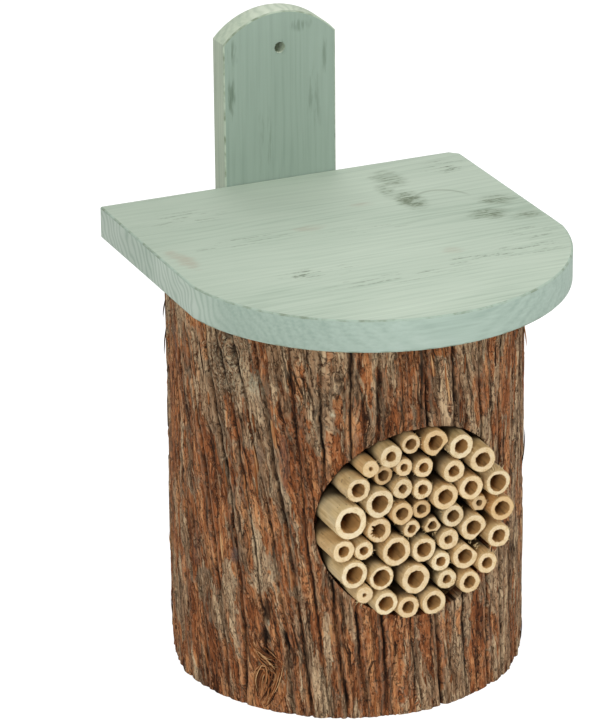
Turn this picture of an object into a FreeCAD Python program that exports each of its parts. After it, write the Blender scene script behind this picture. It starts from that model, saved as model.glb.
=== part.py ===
"""Log insect hotel: a sawn length of fir log with its bark left on, bored from the front and packed with
bamboo tubes, under a painted roof board and on a painted back plate that hangs on one nail.

Frame, in millimetres: +Z up, the front faces -Y, the wall is at +Y, and the origin is under the middle of the
whole hotel, on the surface that the log stands on.
"""
import FreeCAD, Part
import math
import os
from itertools import combinations

from FreeCAD import Vector

# ---------------------------------------------------------------- driving dimensions
# Log: a length of trunk, its back sawn flat for the plate.
LOG_DIAMETER = 140.0        # over the bark, ridges and furrows averaged
LOG_HEIGHT = 165.0
LOG_BACK_CUT = 8.0          # how much of the round the flat back takes off
# Bark: a ridged skin all round, absent on the sawn back.
BARK_THICKNESS = 6.0
BARK_FURROW_DEPTH = 2.1     # of the deepest
BARK_SHOULDER = 1.6         # from the middle of a furrow to the crest beside it
BARK_RINGS = 5              # outlines from foot to top that the flakes run between
# Cavity: one blind hole bored straight in from the front.
CAVITY_HEIGHT = 81.0        # its centre above the foot
CAVITY_BACK_WALL = 36.0     # wood left between its flat floor and the sawn back
# Bamboo tubes: each stands on the cavity floor, closed there by the cane's own node.
TUBE_STAND_OUT = 3.0        # past the front of the log
TUBE_GAP = 0.35             # between two neighbours, and from the outermost to the wall
NODE_WALL = 3.0             # the septum of the node, which closes the tube
TUBE_FLAT_SHARE = 0.13      # of the diameter, taken off a tube that has a flattened side
SETTLING_ROUNDS = 400       # after which no two tubes overlap
# Roof board: D-shaped in plan, its straight back edge against the plate.
ROOF_THICKNESS = 13.0
ROOF_SIDE_OVERHANG = 8.0
ROOF_FRONT_OVERHANG = 30.0
ROOF_NOSE_EASE = 1.0        # the nose arc's radius is half the width and this much more
ROOF_EDGE = 0.8             # chamfer round the rims
ROOF_CORNER_CLIP = 3.5      # sawn off the right-hand back corner
# Back plate: upright board behind log and roof, with an arched head.
PLATE_WIDTH = 48.5
PLATE_THICKNESS = 11.0
PLATE_ABOVE_ROOF = 70.0
PLATE_ARCH_RISE = 11.0
PLATE_FOOT = 14.0           # its lower end above the foot of the log
PLATE_EDGE = 0.6
NAIL_HOLE_DIAMETER = 4.5
NAIL_HOLE_DROP = 15.0       # below the top of the arch
# Countersunk wood screws, driven from behind through the plate.
SCREW_DIAMETER = 3.5
SCREW_LENGTH = 35.0
SCREW_HEAD_DIAMETER = 7.0
SCREW_TIP = 4.0
SCREW_SINK = 0.5            # the head lies this far below the face
SCREW_CROSS = 3.6           # length of the cross recess's arms
SCREW_CROSS_WIDTH = 0.9
SCREW_CROSS_DEPTH = 1.6
SCREW_CLEARANCE = 0.2       # radial, round the shank in the plate
LOG_SCREW_PITCH = 90.0      # between the two screws into the log
ROOF_SCREW_PITCH = 28.0     # between the two screws into the roof board
# Beech dowels, glued into log and roof board.
DOWEL_DIAMETER = 8.0
DOWEL_IN_LOG = 16.0
DOWEL_IN_ROOF = 8.0
DOWEL_SPACING = 80.0
DOWEL_EDGE = 0.8
DOWEL_GAP = 0.05            # radial, filled by glue

# The bark's furrows, clockwise seen from above. For each: where it runs at the foot, at mid height and at the
# top, in degrees round the log from straight behind, and its depth as a share of the deepest.
FURROWS = (
    (1, 0, 2, 0.5),
    (12, 11, 12, 0.8),
    (21, 23, 22, 0.6),
    (31, 31, 33, 0.45),
    (41, 43, 42, 0.9),
    (51, 51, 50, 0.5),
    (60, 61, 58, 1.0),
    (70, 71, 69, 0.6),
    (81, 82, 79, 0.45),
    (91, 95, 92, 1.0),
    (102, 105, 102, 0.5),
    (113, 115, 114, 0.8),
    (125, 126, 127, 1.0),
    (134, 136, 136, 0.45),
    (143, 145.5, 145.5, 0.8),
    (151, 154, 158.5, 1.0),
    (162, 165.5, 169.5, 0.6),
    (172, 176, 179.5, 1.0),
    (182, 185, 187, 0.4),
    (191, 194, 193.5, 0.9),
    (198, 202.5, 202.5, 0.7),
    (204, 210.5, 212, 0.9),
    (209.5, 217, 223, 0.4),
    (215, 224, 236, 1.0),
    (221.5, 229.5, 244, 0.7),
    (230, 236, 251, 0.45),
    (239, 243, 259, 1.0),
    (246, 254, 268, 1.0),
    (256, 263, 277, 0.5),
    (266, 273, 285, 0.8),
    (278, 284, 292, 1.0),
    (288, 294, 301, 0.45),
    (298, 303, 309, 0.8),
    (308, 312, 317, 0.5),
    (319, 320, 325, 0.7),
    (330, 329, 334, 1.0),
    (341, 339, 343, 0.5),
    (351, 349, 352, 0.7),
)

# The bundle, clockwise from the top in each ring. For each tube: how far its centre lies to the right of the
# cavity's and above it before the bundle settles, its outside and bore diameters, how much further out than the
# rest its end stands, and which of its sides is flattened, if one is.
OUTER_RING = (
    (3.5, 32.0, 11.0, 6.0, 0.0, "lower right"),
    (15.0, 29.0, 10.5, 5.5, 0.5, None),
    (23.5, 22.5, 11.0, 6.0, 1.0, None),
    (31.0, 11.5, 11.0, 7.0, 0.0, None),
    (33.5, 0.0, 10.5, 6.0, -1.0, None),
    (32.0, -11.0, 10.0, 5.5, -0.5, None),
    (27.5, -22.0, 9.0, 4.5, 0.0, None),
    (19.0, -28.0, 9.5, 5.0, 0.0, None),
    (4.0, -32.5, 10.5, 6.0, 0.5, None),
    (-6.5, -32.0, 9.5, 5.0, 0.0, None),
    (-15.5, -29.0, 10.0, 6.0, 0.5, None),
    (-24.5, -23.5, 7.5, 1.5, 1.0, None),
    (-29.0, -14.5, 11.5, 7.0, 0.5, None),
    (-33.0, -4.0, 9.5, 4.5, 0.5, None),
    (-31.0, 8.0, 14.0, 8.5, 1.0, None),
    (-27.0, 20.0, 10.5, 5.5, 0.0, None),
    (-21.5, 27.0, 7.5, 1.5, 0.0, None),
    (-14.0, 29.5, 9.5, 4.0, 0.5, None),
    (-5.5, 32.5, 8.5, 4.5, -0.5, None),
)
MIDDLE_RING = (
    (-0.5, 23.5, 8.5, 4.0, -1.0, None),
    (12.0, 19.5, 9.5, 4.5, 0.5, None),
    (19.5, 12.0, 10.5, 5.5, 0.5, None),
    (24.5, 3.5, 7.5, 2.5, -2.0, "upper right"),
    (20.5, -5.0, 11.0, 6.0, -1.0, "lower right"),
    (17.5, -16.5, 11.0, 6.0, 0.0, "upper right"),
    (10.5, -25.5, 8.5, 3.5, -1.0, None),
    (7.5, -16.5, 8.5, 4.0, -0.5, None),
    (-3.5, -21.5, 12.5, 7.0, 0.5, None),
    (-17.5, -17.5, 10.5, 7.0, -0.5, None),
    (-24.0, -5.0, 8.0, 3.5, -0.5, None),
    (-18.5, 1.5, 10.5, 5.5, -1.0, None),
    (-19.0, 12.5, 12.0, 7.0, 0.0, None),
    (-16.5, 22.0, 8.0, 4.5, -3.0, None),
    (-8.5, 24.0, 7.5, 3.0, -1.0, None),
)
INNER_RING = (
    (-1.5, 14.5, 8.5, 4.0, -0.5, None),
    (9.0, 10.0, 11.0, 6.0, 0.5, None),
    (13.0, 0.5, 9.5, 5.0, -1.5, None),
    (11.5, -9.0, 9.0, 3.5, -1.0, None),
    (-0.5, -11.5, 10.5, 6.0, 0.0, None),
    (-13.5, -8.5, 12.5, 7.5, 0.0, None),
    (-9.5, 7.0, 9.5, 5.0, 0.0, None),
    (-10.5, 15.5, 8.5, 3.5, 0.0, None),
)
CORE = (
    (-0.5, 6.0, 8.0, 4.0, -2.0, None),
    (4.5, -2.0, 7.5, 3.5, -2.0, "below"),
    (-5.0, -2.0, 7.5, 3.5, -1.5, "lower right"),
)

SIDES = ("above", "upper right", "right", "lower right", "below", "lower left", "left", "upper left")

# ---------------------------------------------------------------- worked out from them
log_radius = LOG_DIAMETER / 2
wood_radius = log_radius - BARK_THICKNESS
bark_crest = log_radius + BARK_FURROW_DEPTH / 3
back_distance = log_radius - LOG_BACK_CUT
roof_reach = log_radius + ROOF_FRONT_OVERHANG
log_axis_y = (roof_reach - back_distance - PLATE_THICKNESS) / 2
log_front_y = log_axis_y - log_radius
log_back_y = log_axis_y + back_distance
wall_y = log_back_y + PLATE_THICKNESS
cavity_floor_y = log_back_y - CAVITY_BACK_WALL
cavity_depth = cavity_floor_y - log_front_y
roof_top_z = LOG_HEIGHT + ROOF_THICKNESS
plate_top_z = roof_top_z + PLATE_ABOVE_ROOF
nail_hole_z = plate_top_z - NAIL_HOLE_DROP
screw_radius = SCREW_DIAMETER / 2
screw_head_radius = SCREW_HEAD_DIAMETER / 2
screw_tip_radius = screw_radius / 4
dowel_radius = DOWEL_DIAMETER / 2
CLEAR = 1.0                 # how far a cutting tool runs past what it cuts

UP = Vector(0, 0, 1)
TO_WALL = Vector(0, 1, 0)


# ---------------------------------------------------------------- small helpers
def cylinder(radius, length, start, direction):
    return Part.makeCylinder(radius, length, start, direction)


def cone(radius_1, radius_2, length, start, direction):
    return Part.makeCone(radius_1, radius_2, length, start, direction)


def turned(profile, start, direction):
    """Turns a profile of (radius, distance) points about the line from start along direction."""
    points = [Vector(radius, 0, distance) for radius, distance in profile]
    solid = Part.Face(Part.makePolygon(points + points[:1])).revolve(Vector(), UP, 360)
    solid.Placement = FreeCAD.Placement(start, FreeCAD.Rotation(UP, direction))
    return solid


def board(outline, thickness_vector, edge):
    """A board sawn to a closed outline, the rims of its two faces broken with a small chamfer."""
    blank = Part.Face(Part.Wire(outline)).extrude(thickness_vector)
    along = thickness_vector.normalize()
    rims = [e for e in blank.Edges if abs((e.firstVertex().Point - e.lastVertex().Point).dot(along)) < CLEAR]
    return blank.makeChamfer(edge, rims)


def line(start, end):
    return Part.LineSegment(start, end).toShape()


def arc(start, middle, end):
    return Part.Arc(start, middle, end).toShape()


def around_log(radius, angle, z):
    """A point on the log at this angle from straight behind, clockwise seen from above."""
    return Vector(radius * math.sin(angle), log_axis_y + radius * math.cos(angle), z)


# ---------------------------------------------------------------- the tube bundle
class Tube:
    """One cane in the bundle: where it lies in the cavity and its own sizes."""

    def __init__(self, right, up, outside, bore, proud, flat_side):
        self.x, self.z = right, up
        self.radius, self.bore_radius = outside / 2, bore / 2
        self.proud, self.flat_side = proud, flat_side

    def push(self, dx, dz):
        self.x += dx
        self.z += dz

    def reach(self):
        return math.hypot(self.x, self.z) + self.radius


def push_apart(one, other):
    """Moves two tubes that lie too close away from each other, each by half of what is short."""
    dx, dz = other.x - one.x, other.z - one.z
    apart = math.hypot(dx, dz)
    short = one.radius + other.radius + TUBE_GAP - apart
    if short > 0:
        step = short / apart / 2
        one.push(-dx * step, -dz * step)
        other.push(dx * step, dz * step)


def lay_against_wall(ring):
    """Moves the tubes of the outer ring in or out until they all touch one round wall."""
    wall = sum(tube.reach() for tube in ring) / len(ring)
    for tube in ring:
        step = (wall - tube.reach()) / math.hypot(tube.x, tube.z)
        tube.push(tube.x * step, tube.z * step)


def settled_bundle():
    """Lays the tubes side by side in the smallest round hole that they swell into; gives them and its radius."""
    bundle = [Tube(*row) for row in OUTER_RING + MIDDLE_RING + INNER_RING + CORE]
    for _ in range(SETTLING_ROUNDS):
        lay_against_wall(bundle[:len(OUTER_RING)])
        for one, other in combinations(bundle, 2):
            push_apart(one, other)
    return bundle, max(tube.reach() for tube in bundle) + TUBE_GAP


tubes, cavity_radius = settled_bundle()


def bamboo_tube(tube):
    """A length of cane, bored through as far as the node that closes it on the cavity floor."""
    length = cavity_depth + TUBE_STAND_OUT + tube.proud
    seat = Vector(tube.x, cavity_floor_y, CAVITY_HEIGHT + tube.z)
    cane = cylinder(tube.radius, length, seat, -TO_WALL)
    cane = cane.cut(cylinder(tube.bore_radius, length, seat - TO_WALL * NODE_WALL, -TO_WALL))
    if tube.flat_side is None:
        return cane
    depth = TUBE_FLAT_SHARE * 2 * tube.radius
    corner = Vector(-tube.radius, -length, tube.radius - depth)
    shaving = Part.makeBox(2 * tube.radius, length, 2 * depth, corner)
    turn = 360 / len(SIDES) * SIDES.index(tube.flat_side)
    shaving.Placement = FreeCAD.Placement(seat, FreeCAD.Rotation(TO_WALL, turn))
    return cane.cut(shaving)


# ---------------------------------------------------------------- log and bark
def cavity():
    reach = cavity_depth + BARK_THICKNESS
    return cylinder(cavity_radius, reach, Vector(0, cavity_floor_y, CAVITY_HEIGHT), -TO_WALL)


def beyond_back():
    """The slab that the saw takes off the back of the log."""
    corner = Vector(-LOG_DIAMETER, log_back_y, -CLEAR)
    return Part.makeBox(2 * LOG_DIAMETER, LOG_DIAMETER, LOG_HEIGHT + 2 * CLEAR, corner)


def log():
    """The wood of the log: sawn flat behind, bored from the front and drilled for its fixings."""
    wood = cylinder(wood_radius, LOG_HEIGHT, Vector(0, log_axis_y, 0), UP)
    wood = wood.cut([beyond_back(), cavity()])
    return wood.cut([screw_pilot(at) for at in log_screw_places()] + dowel_sockets())


def course(foot, middle, top, level):
    """The angle of a furrow at this level, from 0 at the foot to 1 at the top, on a smooth curve."""
    before, after = 1 - level, 2 * level - 1
    return math.radians(level * after * top + 4 * level * before * middle - before * after * foot)


def bark_ring(level):
    """The bark's outline at one level: flat-topped ridges between sharp furrows."""
    z = LOG_HEIGHT * level
    spread = BARK_SHOULDER / bark_crest
    points = []
    for foot, middle, top, depth in FURROWS:
        angle = course(foot, middle, top, level)
        points.append(around_log(bark_crest, angle - spread, z))
        points.append(around_log(bark_crest - BARK_FURROW_DEPTH * depth, angle, z))
        points.append(around_log(bark_crest, angle + spread, z))
    return points


def flat_face(points):
    return Part.Face(Part.makePolygon(points + points[:1]))


def bark():
    """The bark as one sleeve of flat flakes, cut away at the sawn back and round the cavity's mouth."""
    rings = [bark_ring(ring / (BARK_RINGS - 1)) for ring in range(BARK_RINGS)]
    flakes = [flat_face(rings[0]), flat_face(rings[-1])]
    for lower, upper in zip(rings, rings[1:]):
        for here in range(len(lower)):
            beside = here - 1
            flakes.append(flat_face([lower[beside], lower[here], upper[here]]))
            flakes.append(flat_face([lower[beside], upper[here], upper[beside]]))
    skin = Part.makeSolid(Part.makeShell(flakes))
    wood = cylinder(wood_radius, LOG_HEIGHT + 2 * CLEAR, Vector(0, log_axis_y, -CLEAR), UP)
    return skin.cut([wood, beyond_back(), cavity()])


# ---------------------------------------------------------------- roof board and back plate
def roof_board():
    half = log_radius + ROOF_SIDE_OVERHANG
    nose_radius = half + ROOF_NOSE_EASE
    nose_centre_y = log_axis_y - roof_reach + nose_radius
    side_end_y = nose_centre_y - math.sqrt(nose_radius ** 2 - half ** 2)
    back_left = Vector(-half, log_back_y, LOG_HEIGHT)
    back_right = Vector(half - ROOF_CORNER_CLIP, log_back_y, LOG_HEIGHT)
    clip_right = Vector(half, log_back_y - ROOF_CORNER_CLIP, LOG_HEIGHT)
    side_left = Vector(-half, side_end_y, LOG_HEIGHT)
    side_right = Vector(half, side_end_y, LOG_HEIGHT)
    nose = Vector(0, log_axis_y - roof_reach, LOG_HEIGHT)
    outline = [
        line(back_left, side_left),
        arc(side_left, nose, side_right),
        line(side_right, clip_right),
        line(clip_right, back_right),
        line(back_right, back_left),
    ]
    plank = board(outline, UP * ROOF_THICKNESS, ROOF_EDGE)
    return plank.cut([screw_pilot(at) for at in roof_screw_places()] + dowel_sockets())


def back_plate():
    half = PLATE_WIDTH / 2
    shoulder_z = plate_top_z - PLATE_ARCH_RISE
    foot_left = Vector(-half, log_back_y, PLATE_FOOT)
    foot_right = Vector(half, log_back_y, PLATE_FOOT)
    shoulder_left = Vector(-half, log_back_y, shoulder_z)
    shoulder_right = Vector(half, log_back_y, shoulder_z)
    outline = [
        line(foot_left, shoulder_left),
        arc(shoulder_left, Vector(0, log_back_y, plate_top_z), shoulder_right),
        line(shoulder_right, foot_right),
        line(foot_right, foot_left),
    ]
    plank = board(outline, TO_WALL * PLATE_THICKNESS, PLATE_EDGE)
    behind = PLATE_THICKNESS + 2 * CLEAR
    nail_hole = cylinder(NAIL_HOLE_DIAMETER / 2, behind, Vector(0, log_back_y - CLEAR, nail_hole_z), TO_WALL)
    return plank.cut([nail_hole] + [screw_way(at) for at in log_screw_places() + roof_screw_places()])


# ---------------------------------------------------------------- screws and dowels
def log_screw_places():
    middle_z = PLATE_FOOT + (LOG_HEIGHT - PLATE_FOOT) / 2
    return [Vector(0, wall_y, middle_z + side * LOG_SCREW_PITCH / 2) for side in (-1, 1)]


def roof_screw_places():
    middle_z = LOG_HEIGHT + ROOF_THICKNESS / 2
    return [Vector(side * ROOF_SCREW_PITCH / 2, wall_y, middle_z) for side in (-1, 1)]


head_depth = screw_head_radius - screw_radius


def screw(at):
    """A countersunk screw whose head lies just under the plate's back face at this place."""
    top = at - TO_WALL * SCREW_SINK
    profile = [
        (0, 0),
        (screw_head_radius, 0),
        (screw_radius, head_depth),
        (screw_radius, SCREW_LENGTH - SCREW_TIP),
        (screw_tip_radius, SCREW_LENGTH),
        (0, SCREW_LENGTH),
    ]
    body = turned(profile, top, -TO_WALL)
    arms = []
    for across, high in ((SCREW_CROSS, SCREW_CROSS_WIDTH), (SCREW_CROSS_WIDTH, SCREW_CROSS)):
        corner = top - Vector(across / 2, SCREW_CROSS_DEPTH, high / 2)
        arms.append(Part.makeBox(across, SCREW_CROSS_DEPTH + CLEAR, high, corner))
    return body.cut(arms)


def screw_way(at):
    """Countersink and clearance hole for one screw through the plate."""
    top = at - TO_WALL * SCREW_SINK
    sink = cylinder(screw_head_radius, SCREW_SINK + CLEAR, top, TO_WALL)
    seat = cone(screw_head_radius, screw_radius, head_depth, top, -TO_WALL)
    shank = cylinder(screw_radius + SCREW_CLEARANCE, PLATE_THICKNESS, top, -TO_WALL)
    return sink.fuse([seat, shank])


def screw_pilot(at):
    """The hole that one screw has cut for itself in the wood behind the plate."""
    reach = SCREW_LENGTH + SCREW_SINK - PLATE_THICKNESS
    start = Vector(at.x, log_back_y, at.z)
    shank = cylinder(screw_radius, reach - SCREW_TIP, start + TO_WALL * CLEAR, -TO_WALL)
    straight_end = start - TO_WALL * (reach - SCREW_TIP)
    tip = cone(screw_radius, screw_tip_radius, SCREW_TIP, straight_end, -TO_WALL)
    bridge = cylinder(screw_radius, CLEAR, straight_end + TO_WALL * CLEAR, -TO_WALL)
    return shank.fuse([bridge, tip])


def dowel_places():
    return [Vector(side * DOWEL_SPACING / 2, log_axis_y, LOG_HEIGHT) for side in (-1, 1)]


def dowel_sockets():
    depth = DOWEL_IN_LOG + DOWEL_IN_ROOF
    return [
        cylinder(dowel_radius + DOWEL_GAP, depth, at - UP * DOWEL_IN_LOG, UP) for at in dowel_places()
    ]


def dowel(at):
    """A plain dowel with chamfered ends, half in the log and half in the roof board."""
    length = DOWEL_IN_LOG + DOWEL_IN_ROOF
    profile = [
        (0, 0),
        (dowel_radius - DOWEL_EDGE, 0),
        (dowel_radius, DOWEL_EDGE),
        (dowel_radius, length - DOWEL_EDGE),
        (dowel_radius - DOWEL_EDGE, length),
        (0, length),
    ]
    return turned(profile, at - UP * DOWEL_IN_LOG, UP)


# ---------------------------------------------------------------- the set of pieces
def pieces():
    named = {
        "log": log(),
        "bark": bark(),
        "roof_board": roof_board(),
        "back_plate": back_plate(),
        "plate_screws": Part.makeCompound([screw(at) for at in log_screw_places() + roof_screw_places()]),
        "roof_dowels": Part.makeCompound([dowel(at) for at in dowel_places()]),
    }
    for number, tube in enumerate(tubes, start=1):
        named[f"bamboo_tube_{number:02d}"] = bamboo_tube(tube)
    return named


os.makedirs("parts", exist_ok=True)
for name, shape in pieces().items():
    shape.exportStep(f"parts/{name}.step")
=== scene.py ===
import math

import bpy
import numpy as np
from mathutils import Matrix, Vector
from mathutils.bvhtree import BVHTree


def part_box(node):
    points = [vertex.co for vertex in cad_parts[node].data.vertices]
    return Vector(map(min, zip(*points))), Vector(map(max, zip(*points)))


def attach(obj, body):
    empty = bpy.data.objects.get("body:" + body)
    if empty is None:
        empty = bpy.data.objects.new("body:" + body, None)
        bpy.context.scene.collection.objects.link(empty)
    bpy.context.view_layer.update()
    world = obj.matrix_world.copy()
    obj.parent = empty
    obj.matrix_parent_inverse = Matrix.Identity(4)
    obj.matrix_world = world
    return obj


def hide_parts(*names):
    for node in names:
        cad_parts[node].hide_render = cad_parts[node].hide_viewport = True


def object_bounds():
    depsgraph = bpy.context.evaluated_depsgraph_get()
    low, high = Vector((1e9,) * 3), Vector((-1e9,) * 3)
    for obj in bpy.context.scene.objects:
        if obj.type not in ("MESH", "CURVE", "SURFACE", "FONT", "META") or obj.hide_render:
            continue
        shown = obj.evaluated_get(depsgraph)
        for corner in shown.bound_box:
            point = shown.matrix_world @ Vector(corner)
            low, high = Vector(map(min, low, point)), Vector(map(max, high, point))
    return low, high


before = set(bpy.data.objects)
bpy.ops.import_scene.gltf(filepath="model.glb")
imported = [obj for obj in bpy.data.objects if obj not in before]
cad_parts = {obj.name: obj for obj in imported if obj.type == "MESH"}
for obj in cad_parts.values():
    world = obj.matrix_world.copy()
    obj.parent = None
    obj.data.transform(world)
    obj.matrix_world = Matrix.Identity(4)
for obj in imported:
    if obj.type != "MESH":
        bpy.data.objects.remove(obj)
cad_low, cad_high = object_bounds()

# ---------------------------------------------------------------- camera
# A long lens from the front, a little to the left of the hotel and above its roof.
view_aim = Vector((-0.0163, 0.0135, 0.1249))
view_azimuth = math.radians(-23.72)
view_height = math.radians(22.35)
view_distance = 1.6206
view_roll = math.radians(-0.46)

camera_data = bpy.data.cameras.new("camera")
camera_data.lens = 206.6
camera_data.sensor_width = 36
camera_data.clip_end = 50
camera = bpy.data.objects.new("camera", camera_data)
bpy.context.scene.collection.objects.link(camera)
bpy.context.scene.camera = camera
towards_camera = Vector((
    math.sin(view_azimuth) * math.cos(view_height),
    -math.cos(view_azimuth) * math.cos(view_height),
    math.sin(view_height),
))
camera.matrix_world = (
    Matrix.Translation(view_aim + view_distance * towards_camera)
    @ towards_camera.to_track_quat("Z", "Y").to_matrix().to_4x4()
    @ Matrix.Rotation(view_roll, 4, "Z")
)
bpy.context.scene.view_settings.view_transform = "Standard"

# ---------------------------------------------------------------- floor and light
# A white table top under soft light from all round, with a broad lamp above on the left.
bpy.ops.object.select_all(action="DESELECT")
bpy.ops.mesh.primitive_plane_add(size=14, location=(0, 0, cad_low.z - 0.0002))
floor = bpy.context.object
floor.name = "floor"

floor_paint = bpy.data.materials.new("white_table")
floor_paint.use_nodes = True
nodes, links = floor_paint.node_tree.nodes, floor_paint.node_tree.links
nodes["Principled BSDF"].inputs["Base Color"].default_value = (0.85, 0.85, 0.85, 1)
nodes["Principled BSDF"].inputs["Roughness"].default_value = 0.9
nodes["Principled BSDF"].inputs["Specular IOR Level"].default_value = 0.0
floor_matt = nodes.new("ShaderNodeBsdfDiffuse")
floor_matt.inputs["Color"].default_value = (0.24, 0.24, 0.24, 1)
floor_glow = nodes.new("ShaderNodeEmission")
floor_glow.inputs["Strength"].default_value = 0.93
floor_sum = nodes.new("ShaderNodeAddShader")
floor_choice = nodes.new("ShaderNodeMixShader")
floor_ray = nodes.new("ShaderNodeLightPath")
links.new(floor_matt.outputs[0], floor_sum.inputs[0])
links.new(floor_glow.outputs[0], floor_sum.inputs[1])
links.new(floor_ray.outputs["Is Camera Ray"], floor_choice.inputs[0])
links.new(nodes["Principled BSDF"].outputs[0], floor_choice.inputs[1])
links.new(floor_sum.outputs[0], floor_choice.inputs[2])
links.new(floor_choice.outputs[0], nodes["Material Output"].inputs["Surface"])
floor.data.materials.append(floor_paint)

room = bpy.data.worlds.new("room")
bpy.context.scene.world = room
room.use_nodes = True
nodes, links = room.node_tree.nodes, room.node_tree.links
nodes["Background"].inputs["Color"].default_value = (1, 1, 1, 1)
nodes["Background"].inputs["Strength"].default_value = 0.42
room_white = nodes.new("ShaderNodeBackground")
room_white.inputs["Strength"].default_value = 1.0
room_choice = nodes.new("ShaderNodeMixShader")
room_ray = nodes.new("ShaderNodeLightPath")
links.new(room_ray.outputs["Is Camera Ray"], room_choice.inputs[0])
links.new(nodes["Background"].outputs[0], room_choice.inputs[1])
links.new(room_white.outputs[0], room_choice.inputs[2])
links.new(room_choice.outputs[0], nodes["World Output"].inputs["Surface"])


def hang_lamp(name, place, size, power):
    """A round soft lamp that points at the hotel."""
    lamp_data = bpy.data.lights.new(name, "AREA")
    lamp_data.shape = "DISK"
    lamp_data.size = size
    lamp_data.energy = power
    lamp = bpy.data.objects.new(name, lamp_data)
    bpy.context.scene.collection.objects.link(lamp)
    lamp.location = place
    lamp.rotation_euler = (Vector(place) - view_aim).to_track_quat("Z", "Y").to_euler()


hang_lamp("overhead_lamp", (-0.1, -0.4, 1.5), 0.7, 8)
hang_lamp("rear_lamp", (0.2, 0.8, 1.3), 0.7, 3.5)
hang_lamp("front_lamp", (-1.25, -1.4, 0.8), 0.6, 11.5)
hang_lamp("right_lamp", (1.3, -1.0, 0.6), 0.9, 7)

# ---------------------------------------------------------------- log
# The trunk's own wood: annual rings round a pith a little off its middle, drying cracks and saw marks,
# seen on the sawn foot and back and between the tubes.
mm = 0.001
log_low, log_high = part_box("log")
wood_radius = (log_high.x - log_low.x) / 2
log_axis_y = log_low.y + wood_radius
log_height = log_high.z
back_distance = log_high.y - log_axis_y


def colour(red, green, blue):
    """A colour as a screen shows it, from 0 to 255, for a shader."""
    return tuple(((c / 255 + 0.055) / 1.055) ** 2.4 for c in (red, green, blue)) + (1,)


class Finish:
    """A material being mixed. Its methods add a node or two and give what comes out; colour, over and
    bump lead to the shader. Its place is where a point lies on the piece, in metres."""

    def __init__(self, name, roughness, shine):
        self.material = bpy.data.materials.new(name)
        self.material.use_nodes = True
        self.nodes, self.links = self.material.node_tree.nodes, self.material.node_tree.links
        self.shader = self.nodes["Principled BSDF"]
        self.shader.inputs["Roughness"].default_value = roughness
        self.shader.inputs["Specular IOR Level"].default_value = shine
        self.place = self.nodes.new("ShaderNodeTexCoord").outputs["Object"]
        self.tint = None

    def feed(self, socket, value):
        """Links a socket to what comes out of another node, or sets it to a constant."""
        if hasattr(value, "is_linked"):
            self.links.new(value, socket)
        elif value is not None:
            socket.default_value = value

    def attribute(self, name):
        node = self.nodes.new("ShaderNodeAttribute")
        node.attribute_name = name
        return node.outputs["Fac"]

    def vector(self, way, first, second=None):
        node = self.nodes.new("ShaderNodeVectorMath")
        node.operation = way
        self.feed(node.inputs[0], first)
        self.feed(node.inputs[1], second)
        return node.outputs["Value" if way in ("LENGTH", "DOT_PRODUCT") else "Vector"]

    def parts(self, vector):
        node = self.nodes.new("ShaderNodeSeparateXYZ")
        self.feed(node.inputs[0], vector)
        return list(node.outputs)

    def joined(self, x, y, z=0.0):
        node = self.nodes.new("ShaderNodeCombineXYZ")
        for socket, value in zip(node.inputs, (x, y, z)):
            self.feed(socket, value)
        return node.outputs[0]

    def maths(self, way, first, second=None, third=None):
        node = self.nodes.new("ShaderNodeMath")
        node.operation = way
        for socket, value in zip(node.inputs, (first, second, third)):
            self.feed(socket, value)
        return node.outputs[0]

    def weighed(self, value, weight, rest=None):
        """The value times its weight, and the rest where there is one."""
        return self.maths("MULTIPLY" if rest is None else "MULTIPLY_ADD", value, weight, rest)

    def noise(self, vector, detail=2.0, scale=1.0):
        node = self.nodes.new("ShaderNodeTexNoise")
        self.feed(node.inputs["Vector"], vector)
        node.inputs["Scale"].default_value = scale
        node.inputs["Detail"].default_value = detail
        return node.outputs["Fac"]

    def grain(self, stretch, detail):
        """Noise with this many features for each metre along X, Y and Z."""
        return self.noise(self.vector("MULTIPLY", self.place, stretch), detail)

    def step(self, value, low, high, start=0.0, end=1.0):
        """Turns low to high into start to end, smoothly."""
        node = self.nodes.new("ShaderNodeMapRange")
        node.interpolation_type = "SMOOTHSTEP"
        for socket, given in zip(node.inputs, (value, low, high, start, end)):
            self.feed(socket, given)
        return node.outputs[0]

    def ramp(self, source, stops):
        node = self.nodes.new("ShaderNodeValToRGB")
        while len(node.color_ramp.elements) < len(stops):
            node.color_ramp.elements.new(0.5)
        for element, (place, tint) in zip(node.color_ramp.elements, stops):
            element.position, element.color = place, tint
        self.links.new(source, node.inputs[0])
        return node.outputs["Color"]

    def mix(self, share, first, second):
        """Two colours, by the share of the second."""
        node = self.nodes.new("ShaderNodeMix")
        node.data_type = "RGBA"
        share_socket, first_colour, second_colour, colour_out = 0, 6, 7, 2
        for index, value in ((share_socket, share), (first_colour, first), (second_colour, second)):
            self.feed(node.inputs[index], value)
        return node.outputs[colour_out]

    def bump(self, height, strength, distance):
        node = self.nodes.new("ShaderNodeBump")
        node.inputs["Strength"].default_value = strength
        node.inputs["Distance"].default_value = distance
        self.links.new(height, node.inputs["Height"])
        self.links.new(node.outputs[0], self.shader.inputs["Normal"])

    def colour(self, source):
        self.tint = source
        self.links.new(source, self.shader.inputs["Base Color"])

    def over(self, share, tint):
        """Lays one more colour over those so far, by the share of it that shows."""
        self.colour(self.mix(share, self.tint, tint))


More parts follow.
